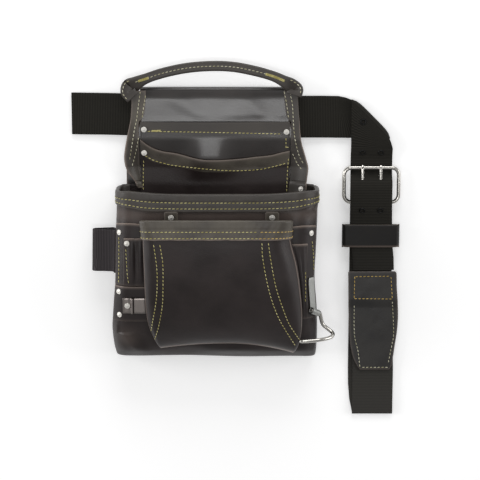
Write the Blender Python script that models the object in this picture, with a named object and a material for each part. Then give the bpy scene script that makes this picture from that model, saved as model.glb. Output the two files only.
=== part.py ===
"""A carpenter's nail apron: leather pouches on a buckled web belt, lying on its back.

The floor is z = 0, the front of the apron faces +Z and its handle points along +Y.
Sizes are millimetres. MM turns them into metres where a mesh is made.
"""
import math
from collections import namedtuple

import bmesh
import bpy
from mathutils import Vector

MM = 0.001

# Materials' thickness, and the gap between touching pieces
LEATHER = 2.2
BINDING = 1.5
WEB = 2.3
GAP = 0.3

# Belt: webbing width, the lie of its two layers, and where it folds
WEB_WIDTH = 50.8
BELT_LEFT = -175.0
BELT_DROP = -0.0133
STRAP_X = 191.6
CORNER_Y = -3.6
STRAP_BOTTOM = -381.0
TONGUE_END = -193.0
CHAPE_END = -228.0

# Back panel and its belt tunnel
PANEL_HALF = 91.0
PANEL_TOP = 34.0
PANEL_BOTTOM = -293.0
TUNNEL_END = -50.0

# Upper pockets
POCKET_HALF = 86.0
POCKET_BOTTOM = -170.0
REAR_MOUTH = -8.0
FRONT_MOUTH = -54.0
FRONT_MOUTH_RISE = 25.0
POCKET_SLACK = 3.0

# Main pouch
POUCH_MOUTH = -86.0
POUCH_LENGTH = 211.0
POUCH_HALF = 124.0
POUCH_DEPTH = 60.0
POUCH_FLANGE = 32.0
POUCH_LOW_ROUND = 14.0
POUCH_LEFT_ROUND = 20.0
POUCH_RIGHT_ROUND = 26.0

# Front pouch, on the main pouch's face
FRONT_POUCH_MOUTH = -115.0
FRONT_POUCH_LENGTH = 160.0
FRONT_POUCH_HALF = 100.0
FRONT_POUCH_DEPTH = 40.0
FRONT_POUCH_LOW_ROUND = 10.0
TAB_WIDTH = 16.6
TAB_TOP = -110.0
TAB_LENGTH = 26.0
TAB_LEFT_X = -52.5
TAB_RIGHT_X = 69.0

# Bindings folded over the two pouch mouths
RIM_HEIGHT = 21.5
RIM_INSIDE = 12.0

# Handle
HANDLE_WIDTH = 12.5
HANDLE_THICK = 4.6
HANDLE_HALF = 100.0
HANDLE_Z = 15.2

# Buckle, keeper and prongs
BAR = 4.8
FRAME_WIDTH = 67.0
FRAME_TOP = -65.0
HEEL_BAR = -108.0
FRAME_ROUND = 7.0
PRONG_SPREAD = 22.4
PRONG_WIDTH = 3.4
PRONG_THICK = 2.0
PRONG_OVERHANG = 3.8
KEEPER_WIDTH = 71.0
KEEPER_TOP = -135.0
KEEPER_HEIGHT = 28.0
KEEPER_WALL = 1.5

# Eyelets in the belt
EYELET_OUTER = 7.6
EYELET_HOLE = 4.6
EYELET_HEIGHT = 0.9
EYELET_ROWS = (-46.0, -117.0)
EYELET_LONE_ROW = -8.0

# Leather patch on the belt
PATCH_TOP = -195.0
PATCH_LENGTH = 127.0
PATCH_HALF = 31.0

# Web tool loop on the left side
LOOP_TOP = -138.0
LOOP_WIDTH = 52.0
LOOP_REACH = 29.0
LOOP_FOLD = 5.0

# Pockets and patch on the pouch's corners
LEFT_POCKET_TOP = -126.0
LEFT_POCKET_REACH = 22.0
SLOT_POCKET_TOP = -142.0
CLIP_PATCH_TOP = -202.0
CLIP_PATCH_LENGTH = 44.0
RIGHT_POCKET_TOP = -129.0
RIGHT_POCKET_LENGTH = 114.0
RIGHT_POCKET_REACH = 26.0
SLIM_POCKET_TOP = -149.0
SLIM_POCKET_CLEAR = 1.5

# Tape clip
CLIP_WIDTH = 19.0
CLIP_TOP = -216.0
CLIP_SHEET = 1.0
CLIP_BASE_X = -112.0
CLIP_STEP_X = -101.0
CLIP_TUCK = 0.3
CLIP_RISE = 3.0
CLIP_HEEL = 1.4

# Hammer plate and its wire
PLATE_TOP = -192.0
PLATE_LENGTH = 43.0
PLATE_WIDTH = 13.0
PLATE_SHEET = 1.4
PLATE_CLEAR = 13.4
PLATE_SLANT = 6.0
PLATE_CORNER = 2.5
PLATE_CURL = 290
WIRE = 4.6
RING_OUT = 17.5
RING_DROP = 25.0
RING_DIP = 5.0
RING_END_OUT = 3.5
RING_END_UP = 10.8
RING_END_LIFT = 4.3

# Rivets
RIVET = 7.0
RIVET_HEIGHT = 1.6
RIVET_SLACK = 0.85

# Facets
ARC_STEPS = 5
FLANGE_STEPS = 2
FACE_STEPS = 9
ROUND_SIDES = 10
WIRE_SIDES = 8
CORNER_ROW_STEP = 16.0

COLOURS = {
    "leather": ((0.030, 0.024, 0.021), 0.38, 0.0),
    "binding": ((0.062, 0.053, 0.047), 0.50, 0.0),
    "webbing": ((0.018, 0.018, 0.017), 0.85, 0.0),
    "nickel": ((0.78, 0.77, 0.74), 0.18, 1.0),
    "zinc": ((0.52, 0.54, 0.55), 0.42, 1.0),
    "blackened": ((0.02, 0.02, 0.02), 0.35, 1.0),
}


def table(columns, *rows):
    row = namedtuple("Row", columns)
    return [row(*values) for values in rows]


# Main pouch down its length: shares of length, depth, half width and flange
POUCH = table(
    "down depth left right flange",
    (0.000, 0.967, 0.960, 1.008, 1.00),
    (0.110, 0.967, 0.960, 1.008, 1.00),
    (0.240, 0.985, 0.968, 1.002, 1.00),
    (0.380, 1.000, 0.974, 0.992, 1.00),
    (0.520, 1.000, 0.980, 0.984, 1.00),
    (0.660, 0.975, 1.000, 1.000, 1.00),
    (0.800, 0.920, 1.016, 1.014, 1.00),
    (0.890, 0.850, 1.012, 1.014, 0.95),
    (0.945, 0.740, 1.000, 1.006, 0.80),
    (0.978, 0.580, 0.984, 1.000, 0.55),
    (0.994, 0.360, 0.970, 0.992, 0.30),
    (1.000, 0.120, 0.955, 0.984, 0.12),
)

# Front pouch: shares of its length, half width and depth, its two face radii as shares of depth,
# and how far the sides hang below the middle as a share of length
FRONT_POUCH = table(
    "down depth left right left_round right_round sag",
    (0.000, 1.000, 0.845, 0.895, 0.36, 0.64, 0.000),
    (0.140, 1.000, 0.855, 0.905, 0.36, 0.64, 0.000),
    (0.320, 0.960, 0.850, 0.980, 0.36, 0.64, 0.004),
    (0.500, 0.880, 0.842, 1.030, 0.34, 0.58, 0.010),
    (0.680, 0.720, 0.832, 1.056, 0.30, 0.46, 0.020),
    (0.820, 0.540, 0.800, 1.056, 0.24, 0.34, 0.034),
    (0.920, 0.360, 0.745, 1.040, 0.16, 0.22, 0.046),
    (0.975, 0.220, 0.700, 1.015, 0.09, 0.12, 0.054),
    (1.000, 0.085, 0.670, 0.990, 0.03, 0.04, 0.058),
)

# Mouth of the front upper pocket: shares of the pocket's half width and of its rise
POCKET_MOUTH = table(
    "across rise",
    (-1.00, 1.00),
    (-0.92, 0.76),
    (-0.83, 0.56),
    (-0.70, 0.40),
    (-0.52, 0.30),
    (-0.30, 0.10),
    (-0.12, 0.00),
    (0.30, 0.02),
    (0.55, 0.12),
    (0.75, 0.20),
    (0.90, 0.34),
    (1.00, 0.42),
)

# Side wings down from the handle: inner edge as a share of the panel's half width, outer edge as a
# share of the wing's width beyond the panel, and lift of the outer edge
WING_TOP = 27.0
WING_LENGTH = 117.0
WING_WIDTH = 20.0
WING_LIFT = 12.0
WING_RIVET_IN = 16.0
LEFT_WING = table(
    "down inner outer lift",
    (0.00, 1.017, 0.85, 0.00),
    (0.12, 1.017, 0.55, 0.05),
    (0.30, 1.017, 0.60, 0.10),
    (0.50, 1.017, 0.85, 0.35),
    (0.68, 1.017, 1.00, 0.80),
    (0.78, 1.011, 0.90, 0.90),
    (0.88, 0.989, 0.60, 0.50),
    (0.95, 0.978, 0.40, 0.30),
    (1.00, 0.967, 0.25, 0.10),
)
RIGHT_WING = table(
    "down inner outer lift",
    (0.00, 0.967, 0.40, 0.00),
    (0.12, 0.995, 0.50, 0.05),
    (0.30, 1.017, 0.60, 0.10),
    (0.50, 1.017, 0.70, 0.30),
    (0.68, 1.017, 1.00, 0.70),
    (0.78, 1.017, 1.15, 0.95),
    (0.88, 1.011, 1.10, 0.95),
    (0.95, 1.000, 1.05, 0.90),
    (1.00, 0.989, 1.05, 0.80),
    (1.05, 0.984, 1.00, 0.78),
)

# Handle's middle line: shares of its half length and of its height over the end, left to right
HANDLE_BASE = 41.0
HANDLE_RISE = 19.5
HANDLE_LINE = table(
    "along rise",
    (-1.01, -1.05),
    (-1.08, -0.62),
    (-1.06, -0.12),
    (-0.97, 0.04),
    (-0.84, 0.22),
    (-0.62, 0.58),
    (-0.34, 0.88),
    (-0.05, 1.00),
    (0.22, 0.95),
    (0.48, 0.70),
    (0.70, 0.38),
    (0.84, 0.10),
    (0.94, -0.08),
    (1.01, -0.40),
    (0.99, -0.86),
)

# The handle's flat section: shares of its half width and half thickness
HANDLE_SECTION = table(
    "across up",
    (-1.00, -0.5),
    (-1.00, 0.5),
    (-0.75, 1.0),
    (0.75, 1.0),
    (1.00, 0.5),
    (1.00, -0.5),
    (0.75, -1.0),
    (-0.75, -1.0),
)

# Rounded end of a front tab: shares of its length and width
TAB_END = table(
    "down width",
    (0.00, 0.50),
    (0.04, 0.75),
    (0.14, 0.94),
    (0.30, 1.00),
    (1.00, 1.00),
)

# Hammer wire's back leg: shares of its reach outwards, down the pouch and backwards
RING_BACK_LEG = table(
    "out down dip",
    (0.30, 0.58, 1.0),
    (0.66, 0.82, 0.8),
    (1.00, 1.00, 0.0),
)

# Its front leg: shares of the way back from its end to the wire's tip, and of its rise
RING_FRONT_LEG = table(
    "out down rise",
    (0.97, 0.40, 0.40),
    (0.83, 0.14, 0.73),
    (0.60, 0.05, 1.03),
    (0.31, 0.05, 1.17),
    (0.08, 0.05, 1.17),
    (0.00, 0.00, 1.00),
)

# Rivets round the pouch's corners: place down the pouch, side, distance round the corner, layers under
CORNER_RIVETS = table(
    "name y side distance layers",
    ("rivet_side_left", LEFT_POCKET_TOP - 10.0, -1, 15.0, 1),
    ("rivet_slot_left", SLOT_POCKET_TOP - 6.0, -1, 4.4, 2),
    ("rivet_patch_top", CLIP_PATCH_TOP - 7.0, -1, 16.5, 1),
    ("rivet_patch_low", CLIP_PATCH_TOP - 36.0, -1, 14.5, 1),
    ("rivet_side_right", RIGHT_POCKET_TOP - 8.0, 1, 18.0, 1),
)

# Rivets at the upper pockets' edges: side, place, layers under
UPPER_RIVETS = table(
    "name side y layer",
    ("rivet_rear_left", -1, REAR_MOUTH - 9.0, 1),
    ("rivet_rear_right", 1, REAR_MOUTH - 12.0, 1),
    ("rivet_front_left", -1, FRONT_MOUTH + 8.0, 2),
)

# Belt patch outline: shares of its length and half width
BELT_PATCH = table(
    "down left right",
    (0.000, 0.72, 0.80),
    (0.015, 0.84, 0.92),
    (0.050, 0.86, 1.06),
    (0.150, 0.85, 1.07),
    (0.300, 0.84, 1.13),
    (0.450, 0.83, 1.16),
    (0.600, 0.80, 1.13),
    (0.750, 0.74, 1.05),
    (0.880, 0.62, 0.98),
    (0.960, 0.46, 0.93),
    (1.000, 0.34, 0.84),
)


def at(rows, share):
    """Read a table between its rows."""
    for low, high in zip(rows, rows[1:]):
        if share <= high[0]:
            mix = (share - low[0]) / (high[0] - low[0])
            return type(low)(*(a + (b - a) * mix for a, b in zip(low, high)))
    return rows[-1]


def spaced(start, end, count):
    return [start + (end - start) * index / (count - 1) for index in range(count)]


def smooth_line(points, steps):
    """Points on a smooth curve through the given ones."""
    line = []
    last = len(points) - 1
    for index in range(last):
        before = points[max(index - 1, 0)]
        start = points[index]
        end = points[index + 1]
        after = points[min(index + 2, last)]
        for step in range(steps):
            t = step / steps
            bend = (end - before) * t + (before * 2 - start * 5 + end * 4 - after) * t * t
            turn = (start * 3 - before - end * 3 + after) * t ** 3
            line.append(start + (bend + turn) * 0.5)
    line.append(points[-1])
    return line


def material(name):
    made = bpy.data.materials.get(name)
    if made:
        return made
    colour, roughness, metallic = COLOURS[name]
    made = bpy.data.materials.new(name)
    made.use_nodes = True
    shader = made.node_tree.nodes["Principled BSDF"]
    shader.inputs["Base Color"].default_value = (*colour, 1.0)
    shader.inputs["Roughness"].default_value = roughness
    shader.inputs["Metallic"].default_value = metallic
    return made


def finish(name, mesh, kind, origin=Vector((0, 0, 0))):
    """Put a bmesh, in millimetres, into the scene as a named object in metres."""
    bmesh.ops.translate(mesh, verts=mesh.verts, vec=-origin)
    bmesh.ops.scale(mesh, verts=mesh.verts, vec=(MM, MM, MM))
    data = bpy.data.meshes.new(name)
    mesh.to_mesh(data)
    mesh.free()
    data.shade_smooth()
    data.set_sharp_from_angle(angle=math.radians(40))
    data.materials.append(material(kind).copy())
    piece = bpy.data.objects.new(name, data)
    piece.location = origin * MM
    bpy.context.scene.collection.objects.link(piece)
    return piece


def sheet(name, rows, thickness, kind, offset=-1.0, even=True):
    """A wall on a grid of points. Rows run down, points run to the right, and +Z is outside."""
    mesh = bmesh.new()
    grid = [[mesh.verts.new(point) for point in row] for row in rows]
    for upper, lower in zip(grid, grid[1:]):
        for column in range(len(upper) - 1):
            mesh.faces.new((upper[column], lower[column], lower[column + 1], upper[column + 1]))
    piece = finish(name, mesh, kind)
    wall = piece.modifiers.new("Wall", "SOLIDIFY")
    wall.thickness = thickness * MM
    wall.offset = offset
    wall.use_even_offset = even
    return piece


def loft(name, loops, kind, closed=False, origin=Vector((0, 0, 0))):
    """A solid through closed loops of points, with flat ends unless it is a ring."""
    mesh = bmesh.new()
    rings = [[mesh.verts.new(point) for point in loop] for loop in loops]
    pairs = list(zip(rings, rings[1:]))
    if closed:
        pairs.append((rings[-1], rings[0]))
    for ring, following in pairs:
        for index in range(len(ring)):
            after = (index + 1) % len(ring)
            mesh.faces.new((ring[index], ring[after], following[after], following[index]))
    if not closed:
        mesh.faces.new(rings[0])
        mesh.faces.new(rings[-1])
    bmesh.ops.recalc_face_normals(mesh, faces=mesh.faces)
    return finish(name, mesh, kind, origin)


def lathe(name, profile, centre, axis, kind, ring=False):
    """A turned piece. The profile is (radius, height) pairs, seated at centre along axis."""
    turn = Vector((0, 0, 1)).rotation_difference(axis)
    loops = []
    for side in range(ROUND_SIDES):
        angle = 2 * math.pi * side / ROUND_SIDES
        spoke = Vector((math.cos(angle), math.sin(angle), 0))
        up = Vector((0, 0, 1))
        loops.append([centre + turn @ (spoke * radius + up * height) for radius, height in profile])
    if ring:
        return loft(name, loops, kind, closed=True)
    mesh = bmesh.new()
    grid = [[mesh.verts.new(point) for point in loop] for loop in loops]
    foot = [spoke[0] for spoke in grid]
    crown = [spoke[-1] for spoke in grid]
    for side, spoke in enumerate(grid):
        following = grid[(side + 1) % ROUND_SIDES]
        for index in range(len(profile) - 1):
            mesh.faces.new((spoke[index], following[index], following[index + 1], spoke[index + 1]))
    mesh.faces.new(foot)
    mesh.faces.new(crown)
    bmesh.ops.recalc_face_normals(mesh, faces=mesh.faces)
    return finish(name, mesh, kind)


def wire(name, line, radius, kind, closed=False, origin=Vector((0, 0, 0))):
    """A round wire along a line of points, without twist."""
    count = len(line)
    loops = []
    side = None
    for index, point in enumerate(line):
        before = line[index - 1] if closed or index else line[0]
        after = line[(index + 1) % count] if closed or index < count - 1 else line[-1]
        ahead = (after - before).normalized()
        if side is None:
            side = ahead.orthogonal().normalized()
        side = (side - ahead * side.dot(ahead)).normalized()
        up = ahead.cross(side)
        loop = []
        for step in range(WIRE_SIDES):
            angle = 2 * math.pi * step / WIRE_SIDES
            loop.append(point + (side * math.cos(angle) + up * math.sin(angle)) * radius)
        loops.append(loop)
    return loft(name, loops, kind, closed, origin)


# The main pouch's outside as a function of place
Section = namedtuple(
    "Section", "left right base top left_round right_round low_round left_flange right_flange")


def pouch_section(y):
    row = at(POUCH, (POUCH_MOUTH - y) / POUCH_LENGTH)
    base = LEATHER + GAP
    height = row.depth * POUCH_DEPTH - base
    room = height * 0.48
    return Section(
        -row.left * POUCH_HALF, row.right * POUCH_HALF, base, base + height,
        min(POUCH_LEFT_ROUND, room), min(POUCH_RIGHT_ROUND, room), min(POUCH_LOW_ROUND, room),
        row.flange * POUCH_FLANGE, row.flange * POUCH_FLANGE)


def front_section(y_share):
    row = at(FRONT_POUCH, y_share)
    y = FRONT_POUCH_MOUTH - y_share * FRONT_POUCH_LENGTH
    base = pouch_section(y).top + GAP
    height = row.depth * FRONT_POUCH_DEPTH
    room = height * 0.48
    low = min(FRONT_POUCH_LOW_ROUND, room)
    left = -row.left * FRONT_POUCH_HALF
    right = row.right * FRONT_POUCH_HALF
    left_flange = TAB_LEFT_X - TAB_WIDTH / 2 - GAP - left
    right_flange = right - TAB_RIGHT_X - TAB_WIDTH / 2 - GAP
    share = min(row.depth * 1.2, 1.0)
    return Section(
        left, right, base, base + height,
        min(row.left_round * FRONT_POUCH_DEPTH, height - low),
        min(row.right_round * FRONT_POUCH_DEPTH, height - low),
        low, share * left_flange, share * right_flange)


def arc(centre_x, centre_z, radius, start, end):
    """Points and outward normals round an arc, in degrees from +X."""
    points = []
    for angle in spaced(math.radians(start), math.radians(end), ARC_STEPS + 1):
        nx = math.cos(angle)
        nz = math.sin(angle)
        points.append((centre_x + radius * nx, centre_z + radius * nz, nx, nz))
    return points


def outside(part):
    """A section's outside as (x, z, nx, nz), from the left flange round to the right flange."""
    low = part.low_round
    left_flange = [(x, part.base, 0.0, -1.0)
                   for x in spaced(part.left + part.left_flange, part.left + low, FLANGE_STEPS + 1)[:-1]]
    right_flange = [(x, part.base, 0.0, -1.0)
                    for x in spaced(part.right - low, part.right - part.right_flange, FLANGE_STEPS + 1)[1:]]
    face = [(x, part.top, 0.0, 1.0)
            for x in spaced(part.left + part.left_round, part.right - part.right_round, FACE_STEPS + 1)[1:-1]]
    line = left_flange
    line += arc(part.left + low, part.base + low, low, 270, 180)
    line += arc(part.left + part.left_round, part.top - part.left_round, part.left_round, 180, 90)
    line += face
    line += arc(part.right - part.right_round, part.top - part.right_round, part.right_round, 90, 0)
    line += arc(part.right - low, part.base + low, low, 0, -90)
    return line + right_flange


def corner_point(y, side, distance, lift):
    """A point over the main pouch, going from its flat face round a corner: side -1 left, 1 right."""
    part = pouch_section(y)
    radius = part.left_round if side < 0 else part.right_round
    edge = part.left + radius if side < 0 else part.right - radius
    turn = min(max(distance / radius, 0.0), math.pi / 2)
    straight = max(distance - radius * math.pi / 2, 0.0)
    slack = min(distance, 0.0)
    x = edge + side * (slack + (radius + lift) * math.sin(turn))
    z = part.top - radius + (radius + lift) * math.cos(turn) - straight
    return Vector((x, y, z))


def corner_normal(y, side, distance):
    part = pouch_section(y)
    radius = part.left_round if side < 0 else part.right_round
    turn = min(max(distance / radius, 0.0), math.pi / 2)
    return Vector((side * math.sin(turn), 0.0, math.cos(turn)))


# Heights in the belt and panel stack
def belt_layer(number):
    """Middle height of a belt layer lying on those below it."""
    return WEB / 2 + number * (WEB + GAP)


TUNNEL_BASE = LEATHER + GAP
PANEL_OVER_BELT = TUNNEL_BASE + 2 * (WEB + GAP) + LEATHER / 2
PANEL_SLOPE = table(
    "place height",
    (-TUNNEL_END * 0.58, 1.00),
    (-TUNNEL_END * 1.00, 0.36),
    (-TUNNEL_END * 1.28, 0.00),
)


def panel_height(y):
    """Middle height of the back panel's front sheet."""
    low = LEATHER / 2
    if -y <= PANEL_SLOPE[0].place:
        return PANEL_OVER_BELT
    return low + (PANEL_OVER_BELT - low) * at(PANEL_SLOPE, -y).height


def on_panel(y, layer):
    """Underside of a leather layer lying on the panel."""
    return panel_height(y) + LEATHER / 2 + GAP + layer * (LEATHER + GAP)


def build_back_panel():
    low = LEATHER / 2
    fold = (PANEL_OVER_BELT - low) / 2
    fold_y = PANEL_TOP - fold - LEATHER / 2
    line = [(TUNNEL_END, low), (0.0, low)]
    for angle in spaced(-90, 90, 9):
        turn = math.radians(angle)
        line.append((fold_y + fold * math.cos(turn), low + fold + fold * math.sin(turn)))
    for y in (0.0, -15.0, -PANEL_SLOPE[0].place, -PANEL_SLOPE[1].place, -PANEL_SLOPE[2].place):
        line.append((y, panel_height(y)))
    for y in spaced(POUCH_MOUTH, PANEL_BOTTOM, 4):
        line.append((y, low))
    rows = []
    for y, z in line:
        half = PANEL_HALF
        if y <= POUCH_MOUTH:
            half = PANEL_HALF + 8.0 * min((POUCH_MOUTH - y) / 40.0, 1.0)
        rows.append([Vector((x, y, z)) for x in spaced(-half, half, 5)])
    sheet("back_panel", rows, LEATHER, "leather", offset=0.0)


def pocket_slack(x, y, mouth):
    """How far an upper pocket stands off at its mouth, falling to nothing lower down."""
    fade = max(1.0 - (mouth - y) / 60.0, 0.0)
    return POCKET_SLACK * fade * max(1.0 - (x / POCKET_HALF) ** 2, 0.0)


def build_upper_pockets():
    across = spaced(-POCKET_HALF, POCKET_HALF, 13)
    rows = []
    bends = [-row.place for row in PANEL_SLOPE]
    for y in (REAR_MOUTH, (REAR_MOUTH + bends[0]) / 2, *bends, POUCH_MOUTH, POCKET_BOTTOM):
        rows.append([Vector((x, y, on_panel(y, 0) + pocket_slack(x, y, REAR_MOUTH))) for x in across])
    sheet("upper_pocket_rear", rows, LEATHER, "leather", offset=1.0)
    rows = []
    for share in (0.0, 0.08, 0.2, 0.32, 0.5, 1.0):
        row = []
        for x in across:
            mouth = FRONT_MOUTH + FRONT_MOUTH_RISE * at(POCKET_MOUTH, x / POCKET_HALF).rise
            y = mouth + (POCKET_BOTTOM - mouth) * share
            lift = pocket_slack(x, y, REAR_MOUTH) + pocket_slack(x, y, mouth) * 0.5
            row.append(Vector((x, y, on_panel(y, 1) + lift)))
        rows.append(row)
    sheet("upper_pocket_front", rows, LEATHER, "leather", offset=1.0)


def build_wing(name, rows, side):
    """A leather strip down the side of the upper part, its outer edge standing off the belt."""
    grid = []
    for row in rows:
        y = WING_TOP - row.down * WING_LENGTH
        inner = side * row.inner * PANEL_HALF
        outer = side * (PANEL_HALF + row.outer * WING_WIDTH)
        flange_top = 1 if y < POUCH_MOUTH + 2.0 else 0
        low = on_panel(y, flange_top)
        line = []
        for share in (0.0, 0.35, 0.7, 1.0):
            x = inner + (outer - inner) * share
            line.append(Vector((x, y, low + WING_LIFT * row.lift * share ** 2)))
        if side < 0:
            line.reverse()
        grid.append(line)
    sheet(name, grid, LEATHER, "leather", offset=1.0)


def build_handle():
    points = []
    for row in HANDLE_LINE:
        points.append(Vector((row.along * HANDLE_HALF, HANDLE_BASE + row.rise * HANDLE_RISE, HANDLE_Z)))
    line = smooth_line(points, 2)
    loops = []
    half = HANDLE_WIDTH / 2
    thick = HANDLE_THICK / 2
    for index, point in enumerate(line):
        ahead = (line[min(index + 1, len(line) - 1)] - line[max(index - 1, 0)]).normalized()
        side = Vector((-ahead.y, ahead.x, 0.0)) * half
        up = Vector((0, 0, 1)) * thick
        loops.append([point + side * row.across + up * row.up for row in HANDLE_SECTION])
    loft("handle", loops, "leather")


def build_main_pouch():
    rows = []
    for row in POUCH:
        y = POUCH_MOUTH - row.down * POUCH_LENGTH
        rows.append([Vector((x, y, z)) for x, z, nx, nz in outside(pouch_section(y))])
    sheet("main_pouch", rows, LEATHER, "leather", even=False)


def build_front_pouch():
    rows = []
    for row in FRONT_POUCH:
        part = front_section(row.down)
        y = FRONT_POUCH_MOUTH - row.down * FRONT_POUCH_LENGTH
        middle = (part.left + part.right) / 2
        half = (part.right - part.left) / 2
        line = []
        for x, z, nx, nz in outside(part):
            drop = row.sag * FRONT_POUCH_LENGTH * ((x - middle) / half) ** 2
            line.append(Vector((x, y - drop, z)))
        rows.append(line)
    sheet("front_pouch", rows, LEATHER, "leather", even=False)


def build_rim(name, top_part, low_part, mouth, start_angle):
    """A strip folded over a pouch's mouth, from low on its left side round to its right."""
    limit = -math.cos(math.radians(start_angle))
    outer = GAP + BINDING
    inner = -(LEATHER + GAP + BINDING)
    round_top = (outer - inner) / 2
    profile = [
        (outer, -RIM_HEIGHT), (outer, 0.0), (outer - 0.3 * round_top, 0.7 * outer),
        (outer - round_top, outer), (inner + 0.3 * round_top, 0.7 * outer), (inner, 0.0),
        (inner, -RIM_INSIDE), (inner + BINDING, -RIM_INSIDE), (inner + BINDING, GAP),
        (GAP, GAP), (GAP, -RIM_HEIGHT)]
    loops = []
    for high, low in zip(outside(top_part), outside(low_part)):
        x, z, nx, nz = high
        if nz < limit - 0.001:
            continue
        loop = []
        for out, down in profile:
            share = -down / RIM_HEIGHT
            across_x = x + (low[0] - x) * share + nx * out
            height = z + (low[1] - z) * share + nz * out
            loop.append(Vector((across_x, mouth + down, height)))
        loops.append(loop)
    loft(name, loops, "binding")


def build_tabs():
    """Rounded ends of the front pouch's flanges, riveted to the main pouch."""
    for name, centre in (("front_tab_left", TAB_LEFT_X), ("front_tab_right", TAB_RIGHT_X)):
        rows = []
        for row in TAB_END:
            half = TAB_WIDTH / 2 * row.width
            y = TAB_TOP - row.down * TAB_LENGTH
            z = pouch_section(y).top + GAP
            rows.append([Vector((x, y, z)) for x in spaced(centre - half, centre + half, 3)])
        sheet(name, rows, LEATHER, "leather", offset=1.0)


def build_corner_sheet(name, side, top, bottom, inner, outer, layer, arch=0.0):
    """A leather piece laid round a pouch corner. inner and outer are functions of y."""
    rows = []
    lift = GAP + layer * (LEATHER + GAP)
    for y in spaced(top, bottom, 2 + round((top - bottom) / CORNER_ROW_STEP)):
        line = []
        start = inner(y)
        end = outer(y)
        for share in spaced(0.0, 1.0, 10):
            distance = start + (end - start) * share
            fade = (y - bottom) / (top - bottom)
            place = y + arch * fade * math.sin(math.pi * share)
            line.append(corner_point(place, side, distance, lift))
        if side < 0:
            line.reverse()
        rows.append(line)
    sheet(name, rows, LEATHER, "leather", offset=1.0)


def hidden_edge(side, tuck):
    """Distance along the corner to just under the front pouch's side."""
    def distance(y):
        share = (FRONT_POUCH_MOUTH - y) / FRONT_POUCH_LENGTH
        front = front_section(min(max(share, 0.0), 1.0))
        part = pouch_section(y)
        if side < 0:
            return (part.left + part.left_round) - (front.left + tuck)
        return (front.right - tuck) - (part.right - part.right_round)
    return distance


def build_corner_pockets():
    build_corner_sheet(
        "side_pocket_left", -1, LEFT_POCKET_TOP, CLIP_PATCH_TOP + 1.2,
        hidden_edge(-1, 2.0), lambda y: LEFT_POCKET_REACH, 0, arch=2.0)
    build_corner_sheet(
        "slot_pocket_left", -1, SLOT_POCKET_TOP, CLIP_PATCH_TOP + 2.0,
        hidden_edge(-1, 0.6), lambda y: LEFT_POCKET_REACH * 0.36, 1)
    build_corner_sheet(
        "clip_patch", -1, CLIP_PATCH_TOP, CLIP_PATCH_TOP - CLIP_PATCH_LENGTH,
        hidden_edge(-1, 2.0), lambda y: LEFT_POCKET_REACH, 0)
    build_corner_sheet(
        "side_pocket_right", 1, RIGHT_POCKET_TOP, RIGHT_POCKET_TOP - RIGHT_POCKET_LENGTH,
        hidden_edge(1, 2.0), lambda y: RIGHT_POCKET_REACH, 0, arch=2.0)
    build_corner_sheet(
        "slim_pocket_right", 1, SLIM_POCKET_TOP, RIGHT_POCKET_TOP - RIGHT_POCKET_LENGTH + 1.0,
        hidden_edge(1, 0.6), lambda y: plate_distance() - PLATE_WIDTH / 2 - SLIM_POCKET_CLEAR, 1)


# Belt
def across(count=3):
    return spaced(WEB_WIDTH / 2, -WEB_WIDTH / 2, count)


def level_row(x, z):
    return [Vector((x, CORNER_Y + BELT_DROP * (x - STRAP_X) + c, z)) for c in across()]


def upright_row(y, z):
    return [Vector((STRAP_X - c, y, z)) for c in across()]


def fold_row(angle, low, high):
    """A row in the belt's corner fold, from the lower layer (-90) to the upper one (90)."""
    radius = (high - low) / 2
    out = radius * math.cos(math.radians(angle)) * math.sqrt(0.5)
    z = (low + high) / 2 + radius * math.sin(math.radians(angle))
    return [Vector((STRAP_X - c + out, CORNER_Y + c + out, z)) for c in across()]


STRAP_FRONT = table(
    "y z",
    (TONGUE_END, belt_layer(3)),
    (KEEPER_TOP - KEEPER_HEIGHT - 14.0, belt_layer(3)),
    (KEEPER_TOP - KEEPER_HEIGHT - 3.0, belt_layer(3) + KEEPER_WALL + GAP),
    (KEEPER_TOP + 2.0, belt_layer(3) + KEEPER_WALL + GAP),
    (HEEL_BAR - 14.0, belt_layer(1) + WEB + BAR + 2 * GAP + 1.6),
    (HEEL_BAR - 5.0, belt_layer(1) + 2 * WEB + BAR + 3 * GAP),
    (HEEL_BAR + 16.0, belt_layer(1) + 2 * WEB + BAR + 3 * GAP),
    (HEEL_BAR + 20.5, belt_layer(1) + 2 * WEB + BAR + 3 * GAP - 0.6),
    (FRAME_TOP - 11.5, belt_layer(1) + 0.6),
    (FRAME_TOP - 7.0, belt_layer(1)),
    (FRAME_TOP + 9.0, belt_layer(1)),
    (FRAME_TOP + 15.0, belt_layer(1) + 1.2),
    (CORNER_Y - WEB_WIDTH / 2 - 8.0, belt_layer(3)),
)


def strap_place(y):
    """Middle height and slope of the strap's front layer."""
    for low, high in zip(STRAP_FRONT, STRAP_FRONT[1:]):
        if low.y <= y <= high.y:
            slope = (high.z - low.z) / (high.y - low.y)
            return low.z + slope * (y - low.y), slope
    return STRAP_FRONT[-1].z, 0.0


def heel_centre():
    return belt_layer(1) + WEB / 2 + GAP + BAR / 2


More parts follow.
